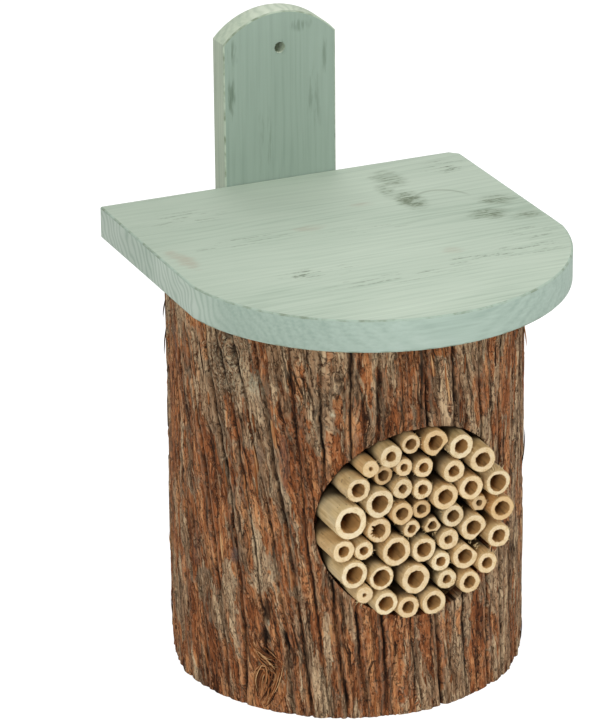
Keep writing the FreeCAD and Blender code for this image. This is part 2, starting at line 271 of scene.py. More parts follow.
log_finish = Finish("log_wood", 0.85, 0.12)
pith = (4 * mm, log_axis_y - 3 * mm, 0)
from_pith = log_finish.vector("MULTIPLY", log_finish.vector("SUBTRACT", log_finish.place, pith), (1, 1, 0))
pith_far = log_finish.vector("LENGTH", from_pith)
ring_count = log_finish.weighed(log_finish.grain((38, 38, 9), 3.0), 3.2, log_finish.weighed(pith_far, 460.0))
late_wood = log_finish.step(log_finish.maths("FRACT", ring_count), 0.55, 0.97)
pores = log_finish.grain((1500, 1500, 90), 2.0)
rays_x, rays_y, rays_z = log_finish.parts(from_pith)
turn = log_finish.maths("ARCTAN2", rays_x, rays_y)
cracks = log_finish.joined(log_finish.weighed(turn, 3.4), log_finish.weighed(rays_z, 6.0))
cracks = log_finish.maths("SUBTRACT", log_finish.noise(cracks, 1.0), 0.5)
crack_line = log_finish.step(log_finish.maths("ABSOLUTE", cracks), 0.0, 0.012, 0.8, 0.0)
saw_marks = log_finish.grain((30, 8, 700), 2.0)
dirt = log_finish.grain((45, 45, 45), 3.0)
log_finish.colour(log_finish.mix(late_wood, colour(206, 172, 126), colour(160, 114, 72)))
log_finish.over(log_finish.step(pores, 0.4, 0.75, 0.0, 0.4), colour(134, 98, 64))
log_finish.over(log_finish.step(dirt, 0.45, 0.75, 0.0, 0.5), colour(142, 116, 88))
log_finish.over(crack_line, colour(56, 38, 24))
log_finish.over(log_finish.step(pith_far, 26 * mm, 34 * mm, 0.35, 0.0), colour(168, 110, 70))
log_finish.bump(log_finish.maths("ADD", saw_marks, log_finish.weighed(late_wood, 0.25)), 0.4, 0.4 * mm)


def dress_node(node, finish):
    """Gives a CAD node that stays in sight its material."""
    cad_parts[node].data.materials.clear()
    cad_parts[node].data.materials.append(finish.material)


dress_node("log", log_finish)

# ---------------------------------------------------------------- bark
# The log's own bark, left on: long grey-brown plates torn open over red-brown inner bark, with dark
# fissures between them. It is a sheet rolled round the wood and turned in at its edges, which are sawn
# off at the foot, the top and the flat back and cut round where the cavity was bored.
bark_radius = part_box("bark")[1].x
bark_columns, bark_rows = 730, 118


def cane_of(name):
    """A tube's middle across and up, its outside and bore radius, and where its front, the end of its
    bore and its back lie along the log, read from the corners of its CAD node."""
    corners = np.array([tuple(corner.co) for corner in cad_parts[name].data.vertices])
    low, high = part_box(name)
    near_enough = 0.01 * mm
    bore_end = max(y for y in np.unique(corners[:, 1].round(5)) if y < high.y - near_enough)
    bore = corners[np.abs(corners[:, 1] - bore_end) < near_enough][:, [0, 2]]
    middle = (bore.min(axis=0) + bore.max(axis=0)) / 2
    far = np.hypot(*(corners[:, [0, 2]] - middle).T)
    bore_far = np.hypot(*(bore - middle).T)
    return middle[0], middle[1], far.max(), bore_far.max(), low.y, bore_end, high.y


tube_names = sorted(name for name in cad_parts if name.startswith("bamboo_tube"))
canes = {name: cane_of(name) for name in tube_names}
mouth_height = 81 * mm
farthest_cane = max(math.hypot(x, z - mouth_height) + outside for x, z, outside, *_ in canes.values())
mouth_radius = farthest_cane + 0.35 * mm


def soft_noise(across, along, seed):
    """Smooth noise from 0 to 1, with one random value at each whole-number place."""
    table = np.random.default_rng(seed).random((64, 64))
    column, row = np.floor(across).astype(int), np.floor(along).astype(int)
    right, up = across - column, along - row
    right, up = right * right * (3 - 2 * right), up * up * (3 - 2 * up)
    left_side, right_side = column % 64, (column + 1) % 64
    near = table[left_side, row % 64] * (1 - right) + table[right_side, row % 64] * right
    far = table[left_side, (row + 1) % 64] * (1 - right) + table[right_side, (row + 1) % 64] * right
    return near * (1 - up) + far * up


def plates(across, along, seed):
    """Splits the bark into long plates, one to each unit cell. Gives how far a point is from the seam
    to the next plate beside it, its place across its own plate, and three random values of that plate."""
    table = np.random.default_rng(seed).random((64, 64, 5))
    column, row = np.floor(across).astype(int), np.floor(along).astype(int)
    first = np.full(across.shape, 9.0)
    second = first.copy()
    own = np.zeros(across.shape + (5,))
    other = np.zeros(across.shape + (2,))
    for i in (-1, 0, 1):
        for j in (-1, 0, 1):
            cell = table[(column + i) % 64, (row + j) % 64].copy()
            cell[..., 0] = column + i + 0.15 + 0.7 * cell[..., 0] - across
            cell[..., 1] = row + j + 0.1 + 0.8 * cell[..., 1] - along
            far = np.hypot(cell[..., 0], cell[..., 1])
            closer, next_one = far < first, (far >= first) & (far < second)
            other[closer] = own[closer][:, :2]
            other[next_one] = cell[next_one][:, :2]
            second = np.where(closer, first, np.where(next_one, far, second))
            first = np.where(closer, far, first)
            own[closer] = cell[closer]
    apart = np.abs(other - own[..., :2])
    beside = np.clip(apart[..., 0] / (apart[..., 0] + 0.7 * apart[..., 1] + 1e-6) * 2 - 0.5, 0, 1)
    return (second - first) / 2 + 0.3 * (1 - beside), own[..., 0], own[..., 2], own[..., 3], own[..., 4]


def eased(value, low, high):
    """0 below low, 1 above high and a smooth step between."""
    share = np.clip((value - low) / (high - low), 0, 1)
    return share * share * (3 - 2 * share)


bpy.ops.object.select_all(action="DESELECT")
bpy.ops.mesh.primitive_grid_add(x_subdivisions=bark_columns, y_subdivisions=bark_rows, size=1)
bark = bpy.context.object
bark.name = "bark_skin"
flat = np.empty(len(bark.data.vertices) * 3)
bark.data.vertices.foreach_get("co", flat)
flat = flat.reshape(-1, 3) + 0.5

# Where each corner of the sheet goes: its angle from straight behind, and millimetres round and up the log.
half_gap = math.acos(back_distance / wood_radius)
angle = half_gap + flat[:, 0] * (2 * math.pi - 2 * half_gap)
degrees = np.degrees(angle)
height = flat[:, 1] * log_height / mm
around = angle * bark_radius / mm

# The fissures lean most on the log's left side: how far sideways they run for each step up.
lean_angles = (0, 90, 125, 150, 180, 193, 205, 222, 270, 292, 320, 345)
leans = (0, 0, 0.015, 0.055, 0.055, 0.02, 0.055, 0.15, 0.165, 0.11, 0.045, 0.015)
leaned = around - np.interp(degrees, lean_angles, leans) * (height - 80)
strayed = leaned + 3.5 * soft_noise(around / 40, height / 62, 1)
strayed = strayed + 1.8 * soft_noise(around / 11, height / 26, 2)

# Knots, by angle in degrees, height and size in millimetres: the fibres part round them.
knots = ((242, 148, 7.5), (101, 62, 8.5), (318, 38, 6.5))
knot_rings = np.zeros(len(angle))
knot_swell = np.zeros(len(angle))
for knot_angle, knot_height, knot_size in knots:
    beside = around - math.radians(knot_angle) * bark_radius / mm
    above = (height - knot_height) * 0.8
    far = np.hypot(beside, above) + 1e-6
    near = np.exp(-((far / knot_size) ** 2))
    strayed = strayed - beside / far * near * knot_size * 0.75
    knot_rings += near * (0.5 + 0.5 * np.cos(far * 2.6 + 3 * soft_noise(around / 2.5, height / 2.5, 21)))
    knot_swell += near - 1.6 * np.exp(-((far / (0.22 * knot_size)) ** 2))
finer = strayed + 1.5 * soft_noise(around / 4.5, height / 9, 4)
finer = finer + 0.6 * soft_noise(around / 1.7, height / 3.5, 10)

# Plates with fissures between them, and narrow strips with finer cracks.
plate_width, plate_length, strip_width, strip_length = 8.2, 48, 3.2, 19
plate_gap, plate_place, plate_hue, plate_lift, plate_tilt = plates(
    strayed / plate_width, height / plate_length, 3)
strip_gap, _, strip_hue, strip_lift, _ = plates(finer / strip_width, height / strip_length, 5)
plate_gap, strip_gap = plate_gap * plate_width, strip_gap * strip_width
plate_open = eased(soft_noise(around / 10, height / 22, 6), 0.3, 0.6)
fissure = np.exp(-((plate_gap / 0.4) ** 2)) * plate_open
crack = np.exp(-((strip_gap / 0.24) ** 2)) * eased(soft_noise(around / 5, height / 10, 11), 0.35, 0.65)

# The main ridges and furrows are those of the CAD node, met a little aside of where they run there.
bark_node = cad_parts["bark"]
bark_tree = BVHTree.FromPolygons(
    [corner.co for corner in bark_node.data.vertices], [face.vertices for face in bark_node.data.polygons])
wiggle = 1.1 * (soft_noise(around / 14, height / 11, 12) - 0.5)
wiggle += 0.7 * (soft_noise(around / 4, height / 3.5, 22) - 0.5)
met = np.full(len(angle), bark_radius)
edge_margin = 0.3
met_heights = np.clip(height, edge_margin, log_height / mm - edge_margin) * mm
for index, (turn, up) in enumerate(zip(angle + wiggle * mm / bark_radius, met_heights)):
    outwards = Vector((math.sin(turn), math.cos(turn), 0))
    start = Vector((0, log_axis_y, up)) + outwards * 2 * bark_radius
    hit = bark_tree.ray_cast(start, -outwards)[0]
    if hit is not None and hit.y < log_high.y - 0.01 * mm:
        reach = math.hypot(hit.x, hit.y - log_axis_y)
        if reach > wood_radius and (hit - start).length < 1.6 * bark_radius:
            met[index] = reach

# Each groove is sharpened to a dark line along its bottom, which gapes here and closes there.
deepest = 2.1
groove = np.clip((bark_radius - met) / mm, 0, deepest)
gaping = 0.6 + 0.4 * eased(soft_noise(around / 9, height / 30, 24), 0.25, 0.6)
gaping = gaping * (0.45 + 0.55 * eased(height, 0, 9))
met = met + (groove - deepest * (groove / deepest) ** 1.5 * gaping) * mm
sheet_shape = (bark_rows + 1, bark_columns + 1)
turning = np.zeros(sheet_shape)
turning[:, 1:-1] = np.diff(groove.reshape(sheet_shape), 2, axis=1)
turning[:, 1:-1] = turning[:, :-2] * 0.2 + turning[:, 1:-1] * 0.6 + turning[:, 2:] * 0.2
turning = turning.ravel()
furrow = eased(-turning, 0.05, 0.36) * gaping
shoulder = eased(turning, 0.05, 0.25)

# Where the outer bark is torn off the red inner bark, more at the left front than elsewhere, and where it
# is thick.
torn = 0.7 * soft_noise(finer / 8.5, height / 32, 13) + 0.3 * soft_noise(finer / 3.4, height / 13, 14)
torn += 0.1 * (soft_noise(finer / 0.8, height / 2.6, 15) - 0.5)
redder = 0.09 * eased(degrees, 185, 215) * (1 - eased(height, 60, 165) * 0.5)
redder -= 0.09 * (1 - eased(degrees, 150, 185))
redder -= 0.05 * eased(degrees, 255, 275)
torn = torn + 0.22 * (plate_hue - 0.5) - redder
outer = eased(torn, 0.46, 0.50)
thick = 0.65 * soft_noise(finer / 6.5, height / 34, 16) + 0.35 * soft_noise(finer / 2.6, height / 13, 17)
thick += 0.1 * (soft_noise(finer / 0.7, height / 2.4, 18) - 0.5)
thick = eased(thick + 0.2 * (plate_hue - 0.5), 0.58, 0.62) * outer
lip = np.exp(-(((torn - 0.505) / 0.016) ** 2))
fibre = 0.5 * soft_noise(finer / 0.85, height / 8, 7) + 0.5 * soft_noise(finer / 1.9, height / 14, 8)
grit = soft_noise(around / 1.0, height / 2.2, 9)
relief = (
    0.45 * plate_lift
    + 0.5 * (plate_tilt - 0.5) * plate_place
    + 0.4 * outer
    + 0.35 * thick
    + 0.25 * strip_lift
    + 0.3 * fibre
    + 0.14 * grit
    + 0.7 * knot_swell
    + 0.25 * knot_rings
    - 0.3 * np.exp(-((plate_gap / 1.5) ** 2)) * plate_open
    - 0.4 * fissure
    - 0.3 * crack
    - 0.3 * furrow
)


def scar(turn, up, half_width, half_height, slant=0.0):
    """A rough-edged spot at an angle in degrees and a height in millimetres, 1 inside and 0 outside."""
    beside = around - math.radians(turn) * bark_radius / mm + slant * (height - up)
    far = np.hypot(beside / half_width, (height - up) / half_height)
    return 1 - eased(far + 0.7 * (soft_noise(around / 1.3, height / 2.6, 19) - 0.5), 0.6, 1.15)


def scars(*marks):
    """Scars laid over one another: how strong each is, then where it is and how large."""
    return sum(strength * scar(*mark) for strength, *mark in marks)


# The scaly places round the knots, then holes and cuts, lichen, chips and places bare of outer bark.
rough = scars((1, 244, 141, 11, 15), (0.7, 101, 58, 9, 12), (0.6, 318, 34, 7, 10))
dark_scars = scars(
    (0.85, 230.6, 43, 1.3, 6), (0.7, 222.8, 29, 0.9, 8.5, -0.45), (0.5, 150.5, 129, 1.0, 2.2),
    (0.8, 231.0, 31.5, 2.6, 3.6), (0.95, 230.8, 19, 4.2, 9.5), (0.8, 241.6, 148.6, 1.5, 1.7),
    (0.9, 179.9, 141, 0.8, 15), (0.6, 205.5, 46, 0.7, 15, -0.1))
grey_scars = scars(
    (1, 242.6, 63, 1.8, 3.0), (0.5, 232.5, 108, 2.0, 5.0), (0.4, 262, 60, 3, 9),
    (0.5, 275, 137, 2.5, 12), (0.5, 224, 106, 2.2, 14), (0.4, 150, 22, 2.5, 5))
pale_scars = scars(
    (1, 208.5, 128.8, 1.3, 1.6), (0.8, 230.3, 37.7, 0.7, 1.3), (0.5, 100, 72, 1.6, 2.5),
    (0.4, 300, 120, 1.5, 4), (0.7, 233.2, 136.7, 3.0, 5))
bare_places = (
    (231, 149, 3.4, 9), (219.5, 142, 5, 11), (219, 121, 4.5, 9), (238, 97, 2.4, 13), (217.5, 100, 4, 13),
    (227.5, 78, 4, 14), (247, 80, 2.5, 11), (236, 34, 4.5, 12), (222, 60, 3.5, 11), (224, 45, 3, 9),
    (229, 9, 5, 7), (203, 22, 3, 11), (188, 14, 4, 13), (166, 34, 3, 9), (180, 30, 2.5, 8),
    (268, 90, 2.2, 22), (262, 30, 3, 16), (253, 12, 3, 10), (193, 147, 3, 11), (158, 122, 2.0, 12))
bare = np.clip(sum(scar(*place) for place in bare_places), 0, 1)

bumpy = soft_noise(around / 1.3, height / 1.7, 23) + 0.6 * soft_noise(around / 2.9, height / 3.6, 26)
relief = relief - 0.9 * dark_scars - 0.3 * grey_scars + 0.25 * pale_scars - 0.35 * bare
relief += rough * 0.9 * (bumpy - 0.8)
lowest, sunk_by, highest = -0.7, 1.4, 1.9
radius = np.minimum(met + (np.clip(relief, lowest, highest) - sunk_by) * mm, bark_radius)

# The round mouth of the bore, and the corners just outside it, which are drawn onto its rim.
mouth_across, mouth_up = bark_radius * np.sin(angle), height * mm - mouth_height
mouth_far = np.hypot(mouth_across, mouth_up)
mouth = (np.cos(angle) < 0) & (mouth_far < mouth_radius)
wide_mouth = np.zeros(sheet_shape, bool)
for row_shift in (-1, 0, 1):
    for column_shift in (-1, 0, 1):
        wide_mouth |= np.roll(mouth.reshape(sheet_shape), (row_shift, column_shift), (0, 1))
mouth_rim = wide_mouth.ravel() & ~mouth


def rolled(radius):
    """Places the sheet's corners at this radius round the log's axis; those past the saw's cut lie on it,
    and those on the rim of the bore lie on the bore's circle."""
    x, y = radius * np.sin(angle), radius * np.cos(angle)
    over = np.maximum(y / back_distance, 1)
    x, y, z = x / over, np.minimum(y, back_distance), height * mm
    x = np.where(mouth_rim, mouth_across / mouth_far * mouth_radius, x)
    z = np.where(mouth_rim, mouth_height + mouth_up / mouth_far * mouth_radius, z)
    y = np.where(mouth_rim, -np.sqrt(np.maximum(radius ** 2 - x ** 2, 0)), y)
    return np.column_stack([x, y + log_axis_y, z])


def point_values(piece, name, values):
    """Stores one number for each vertex, for the piece's material to read."""
    layer = piece.data.attributes.new(name, "FLOAT", "POINT")
    layer.data.foreach_set("value", np.asarray(values, np.float32))


bark.data.vertices.foreach_set("co", rolled(radius).ravel())
red_share = 0.55 - 0.45 * outer + 0.5 * (plate_tilt - 0.5) + 0.25 * (strip_hue - 0.5) + 0.2 * (1 - thick)
red_share = red_share * (1 - 0.8 * rough) + 0.5 * bare
point_values(bark, "red", np.clip(red_share - 0.4 * knot_rings - pale_scars, 0, 1))
point_values(bark, "rough", np.clip(rough, 0, 1))
point_values(bark, "fissure", np.clip(0.6 * fissure + 0.3 * crack + furrow + dark_scars, 0, 1))
# Painted shade: the tone is lowered on the upper right of the bark.
upper_right_shade = eased(height, 95, 140) * (1 - eased(degrees, 190, 215))
point_values(bark, "tone", 0.08 + 0.3 * strip_hue + 0.45 * plate_hue + 0.25 * fibre - 0.24 * upper_right_shade)
knot_lip = knot_rings * (soft_noise(around, height, 20) > 0.4)
# The pale lip: torn edges of the outer bark and rings round the knots, with a painted highlight along the
# shoulders of the grooves.
point_values(bark, "lip", np.clip(0.8 * lip + 0.5 * shoulder + 0.5 * knot_lip, 0, 1))
point_values(bark, "grey", np.clip(grey_scars, 0, 1))
point_values(bark, "pale", np.clip(pale_scars, 0, 1))
point_values(bark, "across", finer)
point_values(bark, "number", np.arange(len(angle)))


def pick_corners(piece, chosen):
    """Goes into edit mode with only these corners of a piece selected."""
    bpy.ops.object.mode_set(mode="EDIT")
    bpy.ops.mesh.select_mode(type="VERT")
    bpy.ops.mesh.select_all(action="DESELECT")
    bpy.ops.object.mode_set(mode="OBJECT")
    piece.data.vertices.foreach_set("select", chosen)
    bpy.ops.object.mode_set(mode="EDIT")


pick_corners(bark, mouth)
bpy.ops.mesh.delete(type="VERT")
bpy.ops.object.mode_set(mode="OBJECT")

# The sheet gets its thickness: its second half of corners is the inside, which lies on the wood and is
# smooth, so most of its faces are dissolved.
sheet = bark.modifiers.new("inside", "SOLIDIFY")
sheet.thickness = 1 * mm
bpy.ops.object.modifier_apply(modifier=sheet.name)
corner_count = len(bark.data.vertices)
numbers = np.empty(corner_count, np.float32)
bark.data.attributes["number"].data.foreach_get("value", numbers)
numbers = numbers.round().astype(int)
outer_sheet = (np.arange(corner_count) < corner_count // 2)[:, None]
corners = np.where(outer_sheet, rolled(radius)[numbers], rolled(wood_radius)[numbers])
bark.data.vertices.foreach_set("co", corners.ravel())
for name, inside in (("fissure", 0.45), ("red", 0.7), ("tone", 0.3), ("lip", 0.0), ("rough", 0.0)):
    values = np.empty(corner_count, np.float32)
    bark.data.attributes[name].data.foreach_get("value", values)
    values[corner_count // 2:] = inside
    bark.data.attributes[name].data.foreach_set("value", values)
bark.data.attributes.remove(bark.data.attributes["number"])
pick_corners(bark, np.arange(corner_count) >= corner_count // 2)
bpy.ops.mesh.select_mode(type="FACE")
bpy.ops.mesh.dissolve_limited(angle_limit=math.radians(0.4), use_dissolve_boundaries=False)
bpy.ops.mesh.select_all(action="SELECT")
bpy.ops.mesh.remove_doubles(threshold=0.01 * mm)
bpy.ops.mesh.normals_make_consistent(inside=False)
bpy.ops.object.mode_set(mode="OBJECT")
bpy.ops.object.shade_smooth_by_angle(angle=math.radians(60))


def dress(piece, slot, node=None, *finishes):
    """Gives a finished piece its materials, hides the CAD node that it stands for and hangs it under the
    root; the slot is not used.
    """
    for number, finish in enumerate(finishes):
        if number < len(piece.data.materials):
            piece.data.materials[number] = finish.material
        else:
            piece.data.materials.append(finish.material)
    if node:
        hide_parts(node)
    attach(piece, "root")


bark_finish = Finish("bark", 0.9, 0.12)
up = bark_finish.parts(bark_finish.place)[2]
across = bark_finish.attribute("across")


def bark_noise(across_scale, up_scale, start, detail):
    """Noise stretched along the bark's fibres: features for each millimetre across and metre up."""
    stretched = bark_finish.joined(
        bark_finish.weighed(across, across_scale), bark_finish.weighed(up, up_scale), start)
    return bark_finish.noise(stretched, detail)


def bark_strips(width, length, start, ragged):
    """Strips of bark side by side, millimetres wide and long, with ragged sides: two random values of
    each strip, and a line that runs down its sides and fades at its ends."""
    side = bark_finish.weighed(across, 1 / width)
    side = bark_finish.weighed(bark_noise(1.0, 240.0, start, 3.0), ragged, side)
    rise = bark_finish.weighed(up, 1000 / length)
    rise = bark_finish.weighed(bark_noise(0.9, 40.0, start + 2, 3.0), 1.1, rise)
    strips = []
    for feature in ("F1", "DISTANCE_TO_EDGE"):
        strip = bark_finish.nodes.new("ShaderNodeTexVoronoi")
        strip.voronoi_dimensions, strip.feature = "2D", feature
        strip.inputs["Scale"].default_value = 1
        bark_finish.feed(strip.inputs["Vector"], bark_finish.joined(side, rise, start))
        strips.append(strip)
    tones = bark_finish.parts(strips[0].outputs["Color"])
    middle = bark_finish.parts(strips[0].outputs["Position"])[1]
    off_middle = bark_finish.maths("ABSOLUTE", bark_finish.maths("SUBTRACT", rise, middle))
    on_side = bark_finish.step(strips[1].outputs["Distance"], 0.01, 0.09, 1.0, 0.0)
    return tones[0], tones[1], bark_finish.weighed(on_side, bark_finish.step(off_middle, 0.2, 0.5, 1.0, 0.0))


def edge_line(value, middle, half_width, depth):
    """A line along which a noise passes one value, as the edge of a flake."""
    far = bark_finish.maths("ABSOLUTE", bark_finish.maths("SUBTRACT", value, middle))
    return bark_finish.step(far, 0.0, half_width, depth, 0.0)


fine = bark_noise(1.7, 250.0, 0.0, 4.0)
broad = bark_noise(0.5, 60.0, 3.0, 3.0)
crumbs = bark_noise(1.3, 620.0, 7.0, 2.0)
streaks = bark_noise(1.0, 110.0, 11.0, 4.0)
nicks = bark_noise(0.9, 480.0, 29.0, 3.0)
flaking = bark_finish.weighed(crumbs, 0.12, bark_noise(0.26, 34.0, 17.0, 5.0))
scaling = bark_finish.weighed(crumbs, 0.15, bark_noise(0.5, 130.0, 23.0, 4.0))
flake = bark_finish.step(flaking, 0.55, 0.57)
scale = bark_finish.step(scaling, 0.57, 0.6)
crumble = bark_finish.noise(bark_finish.place, 3.0, 900.0)
lath_tone, lath_red, lath_line = bark_strips(2.7, 16.0, 31.0, 0.6)
slab_tone, slab_red, slab_line = bark_strips(7.5, 40.0, 43.0, 0.35)

# How light the bark is, how far its red inner side shows, and the two colours that these choose from.
grain = bark_finish.weighed(fine, 0.6, bark_finish.weighed(broad, 0.4))
tone = bark_finish.weighed(bark_finish.attribute("tone"), 0.5, bark_finish.weighed(grain, 1.6, -1.02))
red_share = bark_finish.attribute("red")
for value, weight in ((crumbs, 0.4), (slab_tone, 0.25), (lath_tone, 0.3), (scale, 0.09), (flake, 0.12)):
    tone = bark_finish.weighed(value, weight, tone)
for value, weight in ((broad, 0.7), (slab_red, 0.35), (lath_red, 0.25), (flake, -0.22)):
    red_share = bark_finish.weighed(value, weight, red_share)

grey_bark = bark_finish.ramp(tone, [
    (0.08, colour(50, 33, 21)), (0.34, colour(119, 88, 62)), (0.6, colour(161, 127, 95)),
    (0.95, colour(214, 185, 147))])
red_bark = bark_finish.ramp(tone, [
    (0.08, colour(54, 30, 17)), (0.34, colour(120, 70, 40)), (0.6, colour(161, 97, 57)),
    (0.95, colour(208, 148, 98))])
bark_finish.colour(bark_finish.mix(bark_finish.step(red_share, 0.82, 1.1), grey_bark, red_bark))
bark_finish.over(bark_finish.step(nicks, 0.59, 0.63, 0.0, 0.7), colour(54, 38, 28))
bark_finish.over(bark_finish.step(streaks, 0.6, 0.66, 0.0, 0.65), colour(58, 40, 29))
bark_finish.over(edge_line(flaking, 0.55, 0.014, 0.8), colour(52, 36, 27))
bark_finish.over(edge_line(flaking, 0.585, 0.016, 0.3), colour(194, 164, 130))
bark_finish.over(edge_line(scaling, 0.57, 0.016, 0.8), colour(62, 43, 31))
bark_finish.over(edge_line(scaling, 0.605, 0.014, 0.3), colour(194, 162, 126))

# Clefts between the strips, then what the sheet's own relief says: lips, partly a painted highlight on the
# groove shoulders, scaly knots, scars and fissures.
opening = bark_finish.step(bark_noise(0.2, 45.0, 53.0, 2.0), 0.38, 0.6)
cleft = bark_finish.weighed(opening, bark_finish.weighed(lath_line, 0.6, slab_line))
rough = bark_finish.attribute("rough")
bright_crumbs = bark_finish.weighed(rough, bark_finish.step(crumble, 0.5, 0.62, 0.0, 0.75))
dark_crumbs = bark_finish.weighed(rough, bark_finish.step(crumble, 0.46, 0.36, 0.0, 0.7))
pale_crumbs = bark_finish.step(crumble, 0.4, 0.55, 0.2, 0.85)
bark_finish.over(bark_finish.maths("MINIMUM", cleft, 0.85), colour(44, 30, 21))
# Pale lips, partly a painted highlight on the groove shoulders.
bark_finish.over(bark_finish.weighed(bark_finish.attribute("lip"), 0.35), colour(194, 172, 142))
bark_finish.over(bright_crumbs, colour(196, 178, 146))
bark_finish.over(dark_crumbs, colour(78, 58, 43))
bark_finish.over(bark_finish.weighed(bark_finish.attribute("grey"), 0.55), colour(108, 98, 94))
bark_finish.over(bark_finish.weighed(bark_finish.attribute("pale"), pale_crumbs), colour(206, 196, 166))
bark_finish.over(bark_finish.attribute("fissure"), colour(36, 25, 18))

# The fine relief, of crumbs, strips that overlap, clefts and flakes.
surface = bark_finish.weighed(fine, 0.7)
rough_crumble = bark_finish.weighed(crumble, rough)
for value, weight in (
        (crumbs, 0.45), (slab_red, 0.5), (lath_red, 0.45), (cleft, -0.6), (scale, 0.35), (flake, 0.55),
        (rough_crumble, 1.2)):
    surface = bark_finish.weighed(value, weight, surface)
bark_finish.bump(surface, 1.0, 0.95 * mm)
dress(bark, "bark", "bark", bark_finish)

# ---------------------------------------------------------------- bark shreds
# Loose bast that has peeled off the bark: a swirl of dark and orange threads round an old wound near the
# foot, and thin laths all round, held by one end and lifting at the other.
shred_rng = np.random.default_rng(83)


def bark_face(turn, up):
    """The bark's radius in metres at an angle in degrees and a height in millimetres."""
    column = (math.radians(turn) - half_gap) / (2 * math.pi - 2 * half_gap) * bark_columns
    row = min(max(up, 0), log_height / mm) / (log_height / mm) * bark_rows
    return radius.reshape(sheet_shape)[round(row), round(min(max(column, 0), bark_columns))]


def turned(name, columns, stations):
    """A sheet rolled into a round piece. Each station is a row of places: x, y and z for every column."""
    bpy.ops.object.select_all(action="DESELECT")
    bpy.ops.mesh.primitive_grid_add(x_subdivisions=columns, y_subdivisions=len(stations) - 1, size=1)
    piece = bpy.context.object
    piece.name = name
    piece.data.vertices.foreach_set("co", np.concatenate(stations).ravel())
    return piece


def close_up(piece, smooth_angle):
    """Joins the seam and the poles of a rolled sheet and turns all its faces outwards."""
    bpy.ops.object.mode_set(mode="EDIT")
    bpy.ops.mesh.select_all(action="SELECT")
    bpy.ops.mesh.remove_doubles(threshold=0.002 * mm)
    bpy.ops.mesh.normals_make_consistent(inside=False)
    bpy.ops.object.mode_set(mode="OBJECT")
    bpy.ops.object.shade_smooth_by_angle(angle=math.radians(smooth_angle))


def shred(route, width, thickness):
    """A tapered strip along a route of angles, heights and lifts off the bark; its first end is rooted."""
    places = []
    faces = [bark_face(turn, up) for turn, up, lift in route]
    for face, (turn, up, lift) in zip(faces, route):
        reach, round_by = 0.3 * face + 0.7 * np.mean(faces) + lift * mm, math.radians(turn)
        places.append(Vector((reach * math.sin(round_by), log_axis_y + reach * math.cos(round_by), up * mm)))
    stations = []
    for index, (here, (turn, up, lift)) in enumerate(zip(places, route)):
        along = (places[min(index + 1, len(places) - 1)] - places[max(index - 1, 0)]).normalized()
        outwards = Vector((math.sin(math.radians(turn)), math.cos(math.radians(turn)), 0))
        sideways = along.cross(outwards).normalized()
        share = math.sin(math.pi * (0.12 + 0.86 * index / (len(places) - 1))) ** 0.6
        corners = []
        for clock in range(7):
            beside = sideways * math.cos(math.radians(60 * clock)) * width / 2 * share * mm
            proud = outwards * math.sin(math.radians(60 * clock)) * thickness / 2 * share * mm
            corners.append(tuple(here + beside + proud))
        stations.append(np.array(corners))
    root, tip = (np.tile(station.mean(axis=0), (7, 1)) for station in (stations[0], stations[-1]))
    piece = turned("shred", 6, [root] + stations + [tip])
    close_up(piece, 50)
    point_values(piece, "strand", np.full(len(piece.data.vertices), shred_rng.random()))
    return piece


# The wound: threads that fan and curl from its upper left to the foot, each beside one of five leading
# threads, whose angles and heights are given.
leading_threads = (
    ((236.5, 31), (234.5, 26), (231.5, 23), (228, 22)),
    ((234.5, 15.5), (232, 18.5), (229, 18), (229.5, 12), (232, 5.5)),
    ((226, 22), (227.5, 14), (229.5, 8), (232, 3.5)),
    ((235, 24), (232, 21.5), (229, 21), (227, 17)),
    ((232, 18), (233, 12), (233.5, 6)),
)
shreds = []
for strand in range(60):
    lead = np.array(leading_threads[strand % 5])
    marks, shares = np.linspace(0, 1, len(lead)), np.linspace(0, 1, 9)
    curl, lift = shred_rng.normal(0, 0.9), shred_rng.uniform(0.5, 1.9)
    turns = np.polyval(np.polyfit(marks, lead[:, 0], 2), shares) + shred_rng.normal(0, 1.3)
    ups = np.polyval(np.polyfit(marks, lead[:, 1], 2), shares) + shred_rng.normal(0, 2.0)
    route = []
    for share, turn, up in zip(shares, turns, ups):
        swing = math.sin(share * math.pi)
        rise = lift * math.sin(share * math.pi * 0.8) - 0.2
        route.append((turn + curl * swing, max(up + 0.8 * curl * swing, 1.2), rise))
    wide = 0.9 if strand < 5 else shred_rng.uniform(0.3, 0.65)
    shreds.append(shred(route, wide, 0.55 * wide))

# Single laths: most lie close to the bark; a few wider ones stand off it at its left and right.
lone_laths = [
    (286, 112, 27, 1.0, 1.6), (286.5, 141, 12, 1.1, 1.5), (286, 127, 8, 0.8, 1.4), (286.5, 52, 9, 0.9, 1.6),
    (286, 31, 7, 0.8, 1.5), (287, 152, 8, 0.9, 1.6), (121, 141, 10, 1.1, 1.8), (121, 96, 16, 0.6, 1.6),
    (122, 60, 10, 0.8, 1.5), (206.5, 116, 6, 1.2, 1.2),
]
for _ in range(90):
    lone_laths.append((
        shred_rng.uniform(38, 322), shred_rng.uniform(10, 158), shred_rng.uniform(5, 18),
        shred_rng.uniform(0.1, 0.5), shred_rng.uniform(0.6, 1.5)))
for turn, top, length, lift, width in lone_laths:
    front_x = bark_radius * math.sin(math.radians(turn))
    nearest = min(math.hypot(front_x, end * mm - mouth_height) for end in (top, top - length))
    if nearest < mouth_radius + 6 * mm and math.cos(math.radians(turn)) < 0:
        continue
    lean = np.interp(turn, lean_angles, leans) / (bark_radius / mm) * 180 / math.pi
    sway = shred_rng.normal(0, 0.3)
    held_above = shred_rng.random() < 0.6
    route = []
    for share in np.linspace(0, 1, 7):
        down = share if held_above else 1 - share
        route.append((
            turn + lean * (0.5 - down) * length + sway * share ** 2,
            max(top - length * down, 1.0),
            -0.3 + (lift + 0.3) * math.sin(share * math.pi / 2),
        ))
    shreds.append(shred(route, width, shred_rng.uniform(0.35, 0.6)))


